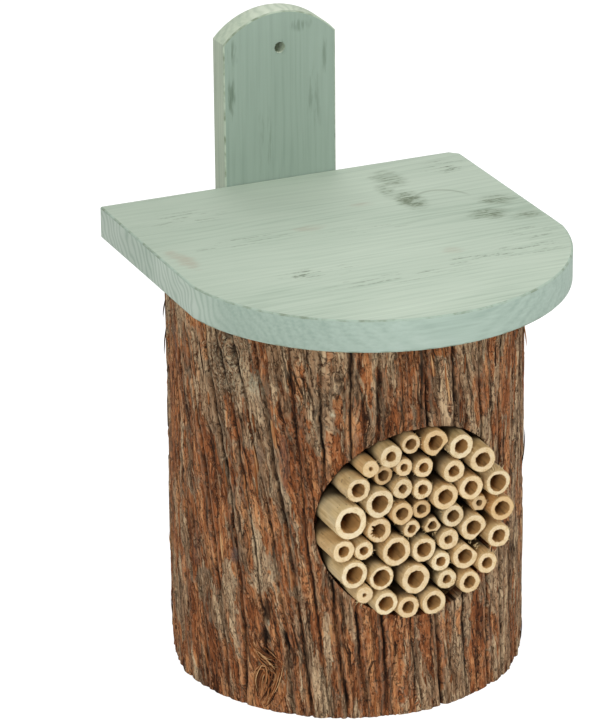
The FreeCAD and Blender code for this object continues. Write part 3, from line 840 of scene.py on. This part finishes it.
def joined_up(name, pieces):
    """Joins small pieces into one object."""
    bpy.ops.object.select_all(action="DESELECT")
    for piece in pieces:
        piece.select_set(True)
    bpy.context.view_layer.objects.active = pieces[0]
    bpy.ops.object.join()
    bpy.context.object.name = name
    return bpy.context.object


shredding = joined_up("bark_shreds", shreds)
shred_finish = Finish("bark_shred", 0.9, 0.12)
shred_grain = shred_finish.grain((1100, 1100, 160), 3.0)
shred_patch = shred_finish.grain((420, 420, 60), 2.0)
shred_tone = shred_finish.weighed(shred_grain, 0.4, shred_finish.weighed(shred_patch, 0.4, -0.3))
shred_tone = shred_finish.weighed(shred_finish.attribute("strand"), 0.75, shred_tone)
shred_finish.colour(shred_finish.ramp(shred_tone, [
    (0.2, colour(54, 34, 22)), (0.42, colour(112, 68, 40)), (0.62, colour(158, 100, 58)),
    (0.85, colour(208, 168, 120))]))
shred_finish.bump(shred_grain, 0.5, 0.2 * mm)
dress(shredding, "bark", None, shred_finish)

# ---------------------------------------------------------------- bamboo tubes
# Forty-five lengths of dried cane, sawn by hand: a streaked and stained skin, darkened by painted shade
# where it sinks between the others, a pale woody wall that shows on the uneven ends, and a bore whose
# colour darkens inwards with painted shade as far as the node.
cane_columns = 44

# What sets some of them apart: how warm and how old they look, from 0 to 1, their flattened sides as clock
# angle and share of the radius left, how ragged the bore is and where a node's ring stands behind the end.
odd_canes = {
    1: dict(warmth=0.85, age=0.35, flats=((135, 0.74),)),
    2: dict(warmth=0.15, age=0.15),
    3: dict(warmth=0.35, age=0.3),
    4: dict(warmth=0.2, age=0.25, ring=6),
    5: dict(warmth=0.95, age=0.35),
    6: dict(warmth=0.3, age=0.2),
    12: dict(warmth=0.45, age=0.3, flats=((200, 0.9),)),
    15: dict(warmth=0.1, age=0.1),
    16: dict(warmth=0.3, age=0.3, ring=8),
    17: dict(warmth=0.7, age=0.2, flats=((60, 0.88), (150, 0.92))),
    18: dict(warmth=0.25, age=0.35),
    19: dict(warmth=0.5, age=0.45, ring=5),
    23: dict(warmth=0.7, age=0.8, flats=tuple((65 + 60 * side, 0.86) for side in range(6)), ring=2.5),
    24: dict(warmth=0.3, age=0.3, flats=((135, 0.74),)),
    25: dict(warmth=0.4, age=0.3, flats=((45, 0.74),)),
    28: dict(warmth=0.35, age=0.3),
    31: dict(warmth=0.55, age=0.4, ragged=1.0),
    33: dict(warmth=0.75, age=0.75),
    36: dict(warmth=0.6, age=0.2, flats=((20, 0.9),)),
    37: dict(warmth=0.0, age=0.6),
    41: dict(warmth=0.8, age=0.45),
    42: dict(warmth=0.3, age=0.5),
    43: dict(warmth=0.85, age=0.6),
    44: dict(warmth=0.45, age=0.55, flats=((180, 0.74), (60, 0.8), (300, 0.8)), ring=2),
    45: dict(warmth=0.4, age=0.3, flats=((140, 0.74),)),
}


def cut_cane(name):
    """One tube, turned from its foot along its skin, over the sawn end and into the bore."""
    number = int(name[-2:])
    rng = np.random.default_rng(100 + number)
    look = dict(warmth=rng.uniform(0.05, 0.6), age=rng.uniform(0.05, 0.4), flats=(), ragged=0.12, ring=None)
    look.update(odd_canes.get(number, {}))
    middle_x, middle_z, outside, bore, front, bore_end, back = canes[name]
    clock = np.linspace(0, 2 * math.pi, cane_columns + 1)

    def waves(strength, seed):
        """An even, closed wobble round the tube from 0 to strength."""
        rng = np.random.default_rng(seed)
        wobble = sum(rng.uniform(0.3, 1) / n * np.sin(n * clock + rng.uniform(0, 6.3)) for n in (2, 3, 5, 8))
        return strength * (wobble - wobble.min()) / (wobble.max() - wobble.min())

    outline = 1 - waves(0.045, number)
    for flat_clock, left in look["flats"]:
        towards = np.cos(clock - math.radians(flat_clock))
        outline = np.minimum(outline, left / np.maximum(towards, 0.1))
    bore_line = 1 - waves(0.05, 200 + number)
    notches = np.random.default_rng(300 + number).random(cane_columns + 1)
    notches[-1] = notches[0]
    bore_line = bore_line + look["ragged"] * 0.32 * eased(notches, 0.55, 0.9) * (np.sin(clock) < 0.4)
    sawn = waves(0.5 * mm, 400 + number) + 0.12 * mm * (0.5 - 0.5 * np.cos(clock + number))
    thin = 0.965 if look["ring"] else 1.0
    burr = np.random.default_rng(500 + number).random(cane_columns + 1)
    burr[-1] = burr[0]
    burr = (eased(burr, 0.45, 1.0) - 0.4) * 0.22 * mm

    def row(radius, line, depth, sawn_share=0.0):
        """Places round the tube at a depth behind its front, which the saw's wobble shifts by a share."""
        far = radius * line
        return np.column_stack([
            middle_x + far * np.sin(clock),
            front + depth + sawn * sawn_share,
            middle_z + far * np.cos(clock),
        ])

    def skin(depth):
        """A row of the skin, which swells where the node's ring stands."""
        ringed = 0.0
        if look["ring"]:
            ringed = math.exp(-(((depth / mm - look["ring"]) / 0.7) ** 2))
        return row(outside * (thin + (1 - thin) * ringed), outline, depth)

    length, blind = back - front, bore_end - front
    ring = (look["ring"] or 12) * mm
    stations = [row(0, outline, length), row(outside - 0.4 * mm, outline, length)]
    stations += [skin(length - 0.4 * mm), skin(60 * mm), skin(30 * mm)]
    stations += [skin(ring + step * mm) for step in (2.0, 0.9, 0.35, 0.0, -0.35, -0.9)]
    edge, even = outside * thin, np.ones(cane_columns + 1)
    stations += [
        row(edge, outline, 0.75 * mm, 0.5),
        row(edge - 0.08 * mm + burr, outline, 0.28 * mm, 1),
        row(edge - 0.22 * mm + burr, outline, 0.05 * mm, 1),
        row(edge - 0.5 * mm + 0.5 * burr, outline, 0, 1),
        row((edge + bore) / 2, (outline + bore_line) / 2, 0.1 * mm, 1),
        row(bore + 0.35 * mm + burr[::-1], bore_line, 0, 1),
        row(bore + 0.1 * mm + burr[::-1], bore_line, 0.08 * mm, 1),
        row(bore, bore_line, 0.5 * mm, 1),
        row(bore * 0.97, 1 - waves(0.05, 200 + number), 3 * mm),
        row(bore * 0.95, even, 20 * mm),
        row(bore * 0.93, even, blind - 1 * mm),
        row(bore * 0.75, even, blind),
        row(0, even, blind),
    ]
    piece = turned(name + "_cane", cane_columns, stations)
    sawn_from, bore_from = 12, 17
    in_row = np.arange(len(piece.data.polygons)) // cane_columns
    piece.data.polygons.foreach_set("material_index", (in_row >= sawn_from) * 1 + (in_row >= bore_from) * 1)
    rows = np.repeat(np.arange(len(stations)), cane_columns + 1)
    point_values(piece, "warmth", np.full(len(rows), look["warmth"]))
    point_values(piece, "age", np.full(len(rows), look["age"]))
    point_values(piece, "wall", np.interp(rows, (13, 14, 15, 16, 17), (1.0, 0.75, 0.5, 0.2, 0.0)))
    close_up(piece, 40)
    return piece


cane_skin = Finish("cane_skin", 0.5, 0.35)
warmth, age = cane_skin.attribute("warmth"), cane_skin.attribute("age")
streak = cane_skin.grain((1300, 60, 1300), 3.0)
stain = cane_skin.grain((160, 70, 160), 3.0)
specks = cane_skin.grain((900, 420, 900), 2.0)
tone = cane_skin.weighed(streak, 0.55, cane_skin.weighed(stain, 0.9, -0.17))
green_cane = cane_skin.ramp(tone, [
    (0.2, colour(146, 119, 76)), (0.45, colour(203, 178, 128)), (0.75, colour(236, 216, 170))])
brown_cane = cane_skin.ramp(tone, [
    (0.2, colour(126, 78, 38)), (0.45, colour(196, 144, 84)), (0.75, colour(230, 188, 128))])
cane_skin.colour(cane_skin.mix(warmth, green_cane, brown_cane))
worn = cane_skin.weighed(cane_skin.step(stain, 0.45, 0.68), cane_skin.maths("ADD", age, 0.25))
cane_skin.over(worn, colour(104, 76, 46))
cane_skin.over(cane_skin.step(specks, 0.66, 0.74, 0.0, 0.6), colour(92, 66, 42))
# Painted shade between the tubes: the skin turns dark brown from 2.5 mm in front of the bark's surface to
# 4.5 mm behind it.
skin_x, skin_y = cane_skin.parts(cane_skin.place)[:2]
bark_front = cane_skin.weighed(cane_skin.weighed(skin_x, skin_x), -1.0, bark_radius ** 2)
bark_front = cane_skin.maths("SQRT", bark_front)
below = cane_skin.maths("SUBTRACT", cane_skin.maths("ADD", skin_y, bark_front), log_axis_y)
cane_skin.over(cane_skin.step(below, -2.5 * mm, 4.5 * mm, 0.0, 0.85), colour(48, 33, 20))
cane_skin.bump(streak, 0.35, 0.25 * mm)

cane_end = Finish("cane_end", 0.85, 0.15)
warmth, age = cane_end.attribute("warmth"), cane_end.attribute("age")
wall = cane_end.attribute("wall")
fibre_ends = cane_end.grain((2600, 300, 2600), 2.0)
patches = cane_end.grain((330, 100, 330), 2.0)
end_tone = cane_end.weighed(fibre_ends, 0.7, cane_end.weighed(patches, 0.5, -0.1))
cane_end.colour(cane_end.ramp(end_tone, [
    (0.25, colour(198, 168, 120)), (0.46, colour(240, 220, 178)), (0.7, colour(253, 242, 212))]))
cane_end.over(cane_end.weighed(warmth, 0.65), colour(224, 178, 114))
cane_end.over(cane_end.weighed(age, 0.5), colour(176, 142, 94))
cane_end.over(cane_end.step(wall, 0.8, 1.0, 0.0, 0.55), colour(168, 134, 82))
cane_end.over(cane_end.step(wall, 0.25, 0.0, 0.0, 0.45), colour(170, 132, 84))
cane_end.bump(fibre_ends, 0.4, 0.15 * mm)

cane_bore = Finish("cane_bore", 0.7, 0.2)
depth = cane_bore.parts(cane_bore.place)[1]
scraps = cane_bore.grain((700, 90, 700), 3.0)
# Painted shade: the bore turns from tan near the log's front to near black 40 mm behind it.
bore_shade = cane_bore.step(depth, log_low.y - 4 * mm, log_low.y + 40 * mm)
cane_bore.colour(cane_bore.ramp(bore_shade, [
    (0.0, colour(196, 152, 94)), (0.07, colour(150, 102, 56)), (0.18, colour(70, 44, 24)),
    (1.0, colour(30, 19, 11))]))
cane_bore.over(cane_bore.step(scraps, 0.45, 0.7, 0.0, 0.5), colour(92, 66, 40))
cane_bore.over(cane_bore.weighed(cane_bore.attribute("age"), 0.5), colour(84, 74, 62))

for name in tube_names:
    dress(cut_cane(name), "bamboo", name, cane_skin, cane_end, cane_bore)

# ---------------------------------------------------------------- frayed fibres
# Splinters and loose threads that the saw has left standing on the rims of some of the tubes.
fibre_rng = np.random.default_rng(61)
# Number of the tube, middle and spread of the splinters by the clock in degrees, count and longest in mm.
frayed = (
    (4, 350, 60, 9, 5.0), (7, 20, 70, 5, 3.5), (12, 210, 60, 5, 2.5), (25, 40, 60, 7, 4.5),
    (31, 300, 90, 5, 2.0), (37, 320, 90, 5, 2.0), (45, 200, 80, 5, 2.5), (44, 180, 90, 5, 2.5),
    (6, 100, 50, 3, 2.0), (18, 250, 60, 5, 3.0), (30, 90, 90, 4, 2.0), (22, 160, 80, 4, 2.0),
    (35, 90, 70, 4, 2.0), (34, 200, 60, 4, 2.5), (27, 90, 60, 3, 2.0))
frayed += tuple((number, 0, 360, 6, 1.1) for number in range(1, 46))
splinters = []
for number, clock_middle, clock_spread, count, longest in frayed:
    middle_x, middle_z, outside, bore, front, bore_end, back = canes[f"bamboo_tube_{number:02d}"]
    for _ in range(count):
        clock = math.radians(clock_middle + clock_spread * (fibre_rng.random() - 0.5))
        outwards = Vector((math.sin(clock), 0, math.cos(clock)))
        length = longest * mm * fibre_rng.uniform(0.45, 1)
        aside = Vector(fibre_rng.normal(0, 0.25, 3))
        towards = outwards * fibre_rng.uniform(0.5, 1) + Vector((0, fibre_rng.uniform(-0.5, 0.5), 0))
        towards = (towards + aside).normalized()
        root = Vector((middle_x, front + 0.9 * mm, middle_z)) + outwards * (outside - 0.25 * mm)
        if (root + towards * length).y < front - 1.0 * mm:
            towards.y = abs(towards.y)
        bpy.ops.mesh.primitive_cone_add(
            vertices=5, radius1=fibre_rng.uniform(0.1, 0.2) * mm, radius2=0.02 * mm, depth=length,
            location=root + towards * length / 2, rotation=towards.to_track_quat("Z", "Y").to_euler())
        splinters.append(bpy.context.object)
fraying = joined_up("cane_fibres", splinters)
bpy.ops.object.transform_apply(location=True, rotation=True, scale=True)
bpy.ops.object.shade_smooth_by_angle(angle=math.radians(70))
fibre_finish = Finish("cane_fibre", 0.8, 0.1)
fibre_finish.colour(fibre_finish.ramp(fibre_finish.noise(fibre_finish.place, 2.0, 900.0), [
    (0.3, colour(176, 146, 96)), (0.7, colour(232, 212, 166))]))
dress(fraying, "bamboo", None, fibre_finish)

# ---------------------------------------------------------------- roof board and back plate
# Two softwood boards sawn to shape, their rims sanded, under one thin coat of sage-green paint that
# lets the grain, the knots and the darker end grain show through.


def sawn_board(name, outline, thickness, rim):
    """A board from its outline, a list of places, and the way that its thickness runs."""
    bpy.ops.object.select_all(action="DESELECT")
    bpy.ops.mesh.primitive_circle_add(vertices=len(outline), radius=1)
    piece = bpy.context.object
    piece.name = name
    piece.data.vertices.foreach_set("co", np.array(outline).ravel())
    bpy.ops.object.mode_set(mode="EDIT")
    bpy.ops.mesh.select_all(action="SELECT")
    bpy.ops.mesh.edge_face_add()
    bpy.ops.mesh.extrude_region_move(TRANSFORM_OT_translate={"value": thickness})
    bpy.ops.mesh.select_all(action="SELECT")
    bpy.ops.mesh.normals_make_consistent(inside=False)
    bpy.ops.object.mode_set(mode="OBJECT")
    sanding = piece.modifiers.new("sanding", "BEVEL")
    sanding.width, sanding.segments = rim, 3
    sanding.limit_method, sanding.angle_limit = "ANGLE", math.radians(50)
    sanding.material = 1
    piece.data.materials.append(None)
    piece.data.materials.append(None)
    bpy.ops.object.modifier_apply(modifier=sanding.name)
    return piece


def bent(start, top, end, count):
    """Points along the arc through three points of a plane, both ends included."""
    (ax, ay), (bx, by), (cx, cy) = start, top, end
    twice = 2 * (ax * (by - cy) + bx * (cy - ay) + cx * (ay - by))
    a2, b2, c2 = ax * ax + ay * ay, bx * bx + by * by, cx * cx + cy * cy
    middle_x = (a2 * (by - cy) + b2 * (cy - ay) + c2 * (ay - by)) / twice
    middle_y = (a2 * (cx - bx) + b2 * (ax - cx) + c2 * (bx - ax)) / twice
    radius = math.hypot(ax - middle_x, ay - middle_y)
    first = math.atan2(ay - middle_y, ax - middle_x)
    through = (math.atan2(by - middle_y, bx - middle_x) - first) % (2 * math.pi)
    sweep = (math.atan2(cy - middle_y, cx - middle_x) - first) % (2 * math.pi)
    sweep = sweep if through < sweep else sweep - 2 * math.pi
    turns = first + sweep * np.linspace(0, 1, count)
    return [(middle_x + radius * math.cos(t), middle_y + radius * math.sin(t)) for t in turns]


roof_low, roof_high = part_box("roof_board")
side = roof_high.x
nose_radius = side + 1 * mm
nose_end_y = roof_low.y + nose_radius - math.sqrt(nose_radius ** 2 - side ** 2)
corner_clip = 3.5 * mm
roof_line = bent((-side, nose_end_y), (0, roof_low.y), (side, nose_end_y), 72)
roof_line += [(side, roof_high.y - corner_clip), (side - corner_clip, roof_high.y), (-side, roof_high.y)]
roof_line = [(x, y, roof_low.z) for x, y in roof_line]
roof = sawn_board("roof_painted", roof_line, (0, 0, roof_high.z - roof_low.z), 0.7 * mm)
bpy.ops.object.shade_smooth_by_angle(angle=math.radians(30))

plate_low, plate_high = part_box("back_plate")
arch_rise = 11 * mm
shoulder = plate_high.z - arch_rise
plate_line = bent((plate_low.x, shoulder), (0, plate_high.z), (plate_high.x, shoulder), 30)
plate_line += [(plate_high.x, plate_low.z), (plate_low.x, plate_low.z)]
plate_line = [(x, plate_low.y, z) for x, z in plate_line]
plate = sawn_board("plate_painted", plate_line, (0, plate_high.y - plate_low.y, 0), 0.55 * mm)


def bored(piece, middle_x, middle_z, profile):
    """Cuts a round hole into a board from behind: its profile is radius and depth pairs."""
    clock = np.linspace(0, 2 * math.pi, 33)
    rows = []
    for hole_radius, depth in [(0, profile[0][1])] + profile + [(0, profile[-1][1])]:
        across, up = middle_x + hole_radius * np.sin(clock), middle_z + hole_radius * np.cos(clock)
        rows.append(np.column_stack([across, np.full(33, plate_high.y - depth), up]))
    cutter = turned("cutter", 32, rows)
    close_up(cutter, 40)
    hole = piece.modifiers.new("hole", "BOOLEAN")
    hole.object, hole.operation, hole.solver = cutter, "DIFFERENCE", "EXACT"
    bpy.context.view_layer.objects.active = piece
    bpy.ops.object.modifier_apply(modifier=hole.name)
    bpy.data.objects.remove(cutter)


nail_hole_height = plate_high.z - 15 * mm
nail_hole_radius = 2.25 * mm
beyond = 1 * mm
through = plate_high.y - plate_low.y + beyond
bored(plate, 0, nail_hole_height, [(nail_hole_radius, -beyond), (nail_hole_radius, through)])

screw_low, screw_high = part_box("plate_screws")
head, shank, sink, screw_pitch = 3.5 * mm, 1.95 * mm, 0.5 * mm, 90 * mm
roof_screw_height = (roof_low.z + roof_high.z) / 2
screw_holes = (
    (0, screw_low.z + head), (0, screw_low.z + head + screw_pitch),
    (screw_low.x + head, roof_screw_height), (screw_high.x - head, roof_screw_height))
for screw_x, screw_z in screw_holes:
    bored(plate, screw_x, screw_z, [
        (head, -beyond), (head, sink), (shank, sink + head - shank), (shank, through)])
bpy.ops.object.select_all(action="DESELECT")
plate.select_set(True)
bpy.context.view_layer.objects.active = plate
bpy.ops.object.shade_smooth_by_angle(angle=math.radians(30))


def painted(name, along, pith, face_stops, end_stops, edge_stops, edge_axis, relief):
    """Paint over softwood: rings round a pith that lies outside the board, its grain along one axis."""
    finish = Finish(name, 0.62, 0.25)
    across = Vector((1, 1, 1)) - along
    sway = finish.grain(tuple(along * 7 + across * 42), 2.0)
    from_pith = finish.vector("MULTIPLY", finish.vector("SUBTRACT", finish.place, pith), tuple(across))
    count = finish.weighed(finish.vector("LENGTH", from_pith), 290.0, finish.weighed(sway, 5.5))
    rings = finish.step(finish.maths("PINGPONG", count, 0.5), 0.12, 0.5)
    grain = finish.grain(tuple(along * 26 + across * 950), 3.0)
    cloud = finish.grain(tuple(along * 11 + across * 26), 3.0)
    face_tone = finish.weighed(grain, 0.6, finish.weighed(cloud, 0.8, -0.2))
    face_tone = finish.weighed(rings, -0.12, face_tone)
    end_tone = finish.weighed(rings, -0.3, finish.weighed(cloud, 0.9, 0.22))
    facing = finish.nodes.new("ShaderNodeTexCoord").outputs["Normal"]
    facing = finish.vector("ABSOLUTE", facing)
    on_end = finish.step(finish.vector("DOT_PRODUCT", facing, tuple(along)), 0.9, 1.0)
    on_edge = finish.step(finish.vector("DOT_PRODUCT", facing, edge_axis), 0.5, 0.8, 1.0, 0.0)
    finish.colour(finish.ramp(face_tone, face_stops))
    finish.over(on_edge, finish.ramp(face_tone, edge_stops))
    finish.over(on_end, finish.ramp(end_tone, end_stops))
    finish.bump(finish.weighed(rings, 0.15, grain), relief, 0.2 * mm)
    return finish


def spots(finish, ragged, where):
    """The darkest of a few soft-edged spots: each is its place, its half length and half width on the
    board's face and how dark it is."""
    darkest = None
    for middle, reach, depth in where:
        near = finish.vector("DIVIDE", finish.vector("SUBTRACT", finish.place, middle), reach)
        far = finish.weighed(ragged, 1.1, finish.vector("LENGTH", near))
        spot = finish.step(far, 0.75, 1.6, depth, 0.0)
        darkest = spot if darkest is None else finish.maths("MAXIMUM", darkest, spot)
    return darkest


def on_roof(x, y, half_length, half_width, depth):
    """A spot on the roof board's top, in millimetres."""
    return (x * mm, y * mm, 0), (half_length * mm, half_width * mm, 100), depth


roof_paint = painted(
    "roof_paint", Vector((1, 0, 0)), (0, 0.15, 0.081),
    [(0.15, colour(154, 171, 153)), (0.42, colour(178, 192, 175)), (0.62, colour(186, 199, 182)),
     (0.9, colour(198, 210, 193))],
    [(0.1, colour(122, 150, 134)), (0.4, colour(172, 191, 176)), (0.6, colour(192, 207, 193)),
     (0.85, colour(214, 226, 214))],
    [(0.2, colour(150, 170, 157)), (0.5, colour(168, 187, 174)), (0.85, colour(182, 199, 187))],
    (0, 0, 1), 0.3,
)
smear = roof_paint.grain((130, 420, 0), 3.0)
strands = roof_paint.grain((70, 620, 0), 3.0)
specks = roof_paint.grain((520, 1250, 0), 3.0)
roof_x, roof_y = roof_paint.parts(roof_paint.place)[:2]

# Dark rubs over the knots at the right, and the fine oval line that a ring has left between them.
knots_dark = spots(roof_paint, smear, [
    on_roof(38.5, 56, 8, 13, 0.6), on_roof(36, 31, 7.5, 14, 0.95), on_roof(32, 43, 5, 12, 0.5),
    on_roof(67.5, 16.5, 10, 8, 0.7), on_roof(58, 3.5, 11, 7, 0.85), on_roof(70, -4, 9, 6, 0.6),
])
knots_dark = roof_paint.weighed(knots_dark, roof_paint.step(strands, 0.38, 0.56, 0.2, 1.15))
knots_dark = roof_paint.weighed(knots_dark, roof_paint.step(specks, 0.35, 0.6, 0.55, 1.2))
oval_middle, oval_reach = (47.5 * mm, 21 * mm, 0), (13 * mm, 15.5 * mm, 1000)
oval = roof_paint.vector("DIVIDE", roof_paint.vector("SUBTRACT", roof_paint.place, oval_middle), oval_reach)
oval = roof_paint.maths("SUBTRACT", roof_paint.vector("LENGTH", oval), 1.0)
oval_line = roof_paint.step(roof_paint.maths("ABSOLUTE", oval), 0.0, 0.09, 0.45, 0.0)
oval_line = roof_paint.weighed(oval_line, roof_paint.step(roof_y, 24 * mm, 31 * mm))

# Short dark flecks where the grain has opened, and places rubbed down to the wood.
flecks = spots(roof_paint, smear, [
    on_roof(45, -38, 34, 8, 1.0), on_roof(-30, -27, 20, 7, 0.8), on_roof(-44, 15, 26, 6, 0.7),
    on_roof(62, -22, 16, 9, 0.7), on_roof(-5, -44, 40, 7, 0.5), on_roof(10, 8, 30, 6, 0.35),
    on_roof(-55, 48, 22, 12, 0.5), on_roof(66, 60, 12, 10, 0.8),
])
flecks = roof_paint.weighed(flecks, roof_paint.step(strands, 0.54, 0.61, 0.0, 1.0))
flecks = roof_paint.weighed(flecks, roof_paint.step(specks, 0.42, 0.54, 0.2, 1.2))
rubbed = spots(roof_paint, smear, [
    on_roof(-70, 5, 5, 12, 0.7), on_roof(-13, 18, 8, 4, 0.6), on_roof(17, 34, 6, 3, 0.5),
    on_roof(27, -27, 6, 4, 0.45), on_roof(-72, 14, 4, 6, 0.6),
])
rubbed = roof_paint.weighed(rubbed, roof_paint.step(strands, 0.35, 0.6, 0.3, 1.0))
# Painted shade: the roof's top darkens towards its left back.
painted_left_shade = roof_paint.step(roof_paint.weighed(roof_y, -0.5, roof_x), -105 * mm, 30 * mm, 0.3, 0.0)
roof_paint.over(painted_left_shade, colour(150, 166, 148))
roof_paint.over(rubbed, colour(166, 158, 140))
roof_paint.over(roof_paint.maths("MAXIMUM", knots_dark, oval_line), colour(112, 124, 102))
roof_paint.over(flecks, colour(116, 128, 110))


def rubbed_rim(name, whole_tint, worn_tint):
    """The rims' own paint, thin and partly rubbed down to a darker line."""
    finish = Finish(name, 0.7, 0.2)
    wear = finish.noise(finish.place, 3.0, 210.0)
    finish.colour(finish.ramp(wear, [(0.35, worn_tint), (0.55, whole_tint), (0.8, whole_tint)]))
    finish.bump(wear, 0.3, 0.3 * mm)
    return finish


roof_rim = rubbed_rim("roof_rim", colour(166, 184, 169), colour(134, 148, 128))
dress(roof, "roof_paint", "roof_board", roof_paint, roof_rim)

plate_paint = painted(
    "plate_paint", Vector((0, 0, 1)), (0.13, 0.02, 0),
    [(0.1, colour(130, 149, 135)), (0.42, colour(142, 160, 146)), (0.62, colour(146, 164, 150)),
     (0.95, colour(154, 171, 158))],
    [(0.1, colour(148, 166, 146)), (0.4, colour(182, 194, 174)), (0.6, colour(194, 204, 184)),
     (0.85, colour(208, 216, 198))],
    [(0.2, colour(158, 174, 154)), (0.5, colour(180, 192, 171)), (0.85, colour(196, 206, 186))],
    (0, 1, 0), 0.25,
)


def on_plate(x, z, half_width, half_length, depth):
    """A spot on the back plate's front, in millimetres."""
    return (x * mm, 0, z * mm), (half_width * mm, 100, half_length * mm), depth


plate_strands = plate_paint.grain((640, 640, 80), 3.0)
plate_marks = spots(plate_paint, plate_paint.grain((300, 300, 120), 3.0), [
    on_plate(-21, 214, 3, 14, 0.8), on_plate(-20, 233, 4, 6, 0.6), on_plate(9, 241, 7, 3, 0.5),
    on_plate(14, 205, 4, 22, 0.45), on_plate(-6, 195, 5, 16, 0.35), on_plate(20, 228, 3, 9, 0.5),
    on_plate(0, nail_hole_height / mm, 3.4, 3.6, 0.5), on_plate(8, 70, 8, 30, 0.5),
    on_plate(-14, 120, 5, 26, 0.5),
])
plate_marks = plate_paint.weighed(plate_marks, plate_paint.step(plate_strands, 0.45, 0.66))
plate_paint.over(plate_marks, colour(92, 110, 92))
plate_rim = rubbed_rim("plate_rim", colour(172, 186, 166), colour(128, 142, 120))
dress(plate, "plate_paint", "back_plate", plate_paint, plate_rim)

# ---------------------------------------------------------------- screws and dowels
# Zinc-plated countersunk screws, scratched by the driver, and plain beech dowels with fine dark flecks.
zinc = Finish("zinc_screw", 0.38, 0.5)
zinc.shader.inputs["Metallic"].default_value = 1.0
turning = zinc.grain((900, 2600, 900), 2.0)
tarnish = zinc.noise(zinc.place, 3.0, 420.0)
zinc_tint = zinc.ramp(turning, [(0.3, colour(150, 148, 138)), (0.7, colour(206, 203, 190))])
zinc.colour(zinc.mix(zinc.step(tarnish, 0.5, 0.72, 0.0, 0.6), zinc_tint, colour(168, 148, 100)))
zinc.bump(turning, 0.25, 0.1 * mm)
dress_node("plate_screws", zinc)

beech = Finish("beech_dowel", 0.75, 0.15)
beech_grain = beech.grain((1300, 1300, 90), 2.0)
beech_flecks = beech.grain((1500, 1500, 420), 1.0)
beech_tint = beech.ramp(beech_grain, [(0.3, colour(196, 158, 116)), (0.7, colour(222, 190, 150))])
beech.colour(beech.mix(beech.step(beech_flecks, 0.6, 0.7, 0.0, 0.7), beech_tint, colour(160, 112, 76)))
dress_node("roof_dowels", beech)
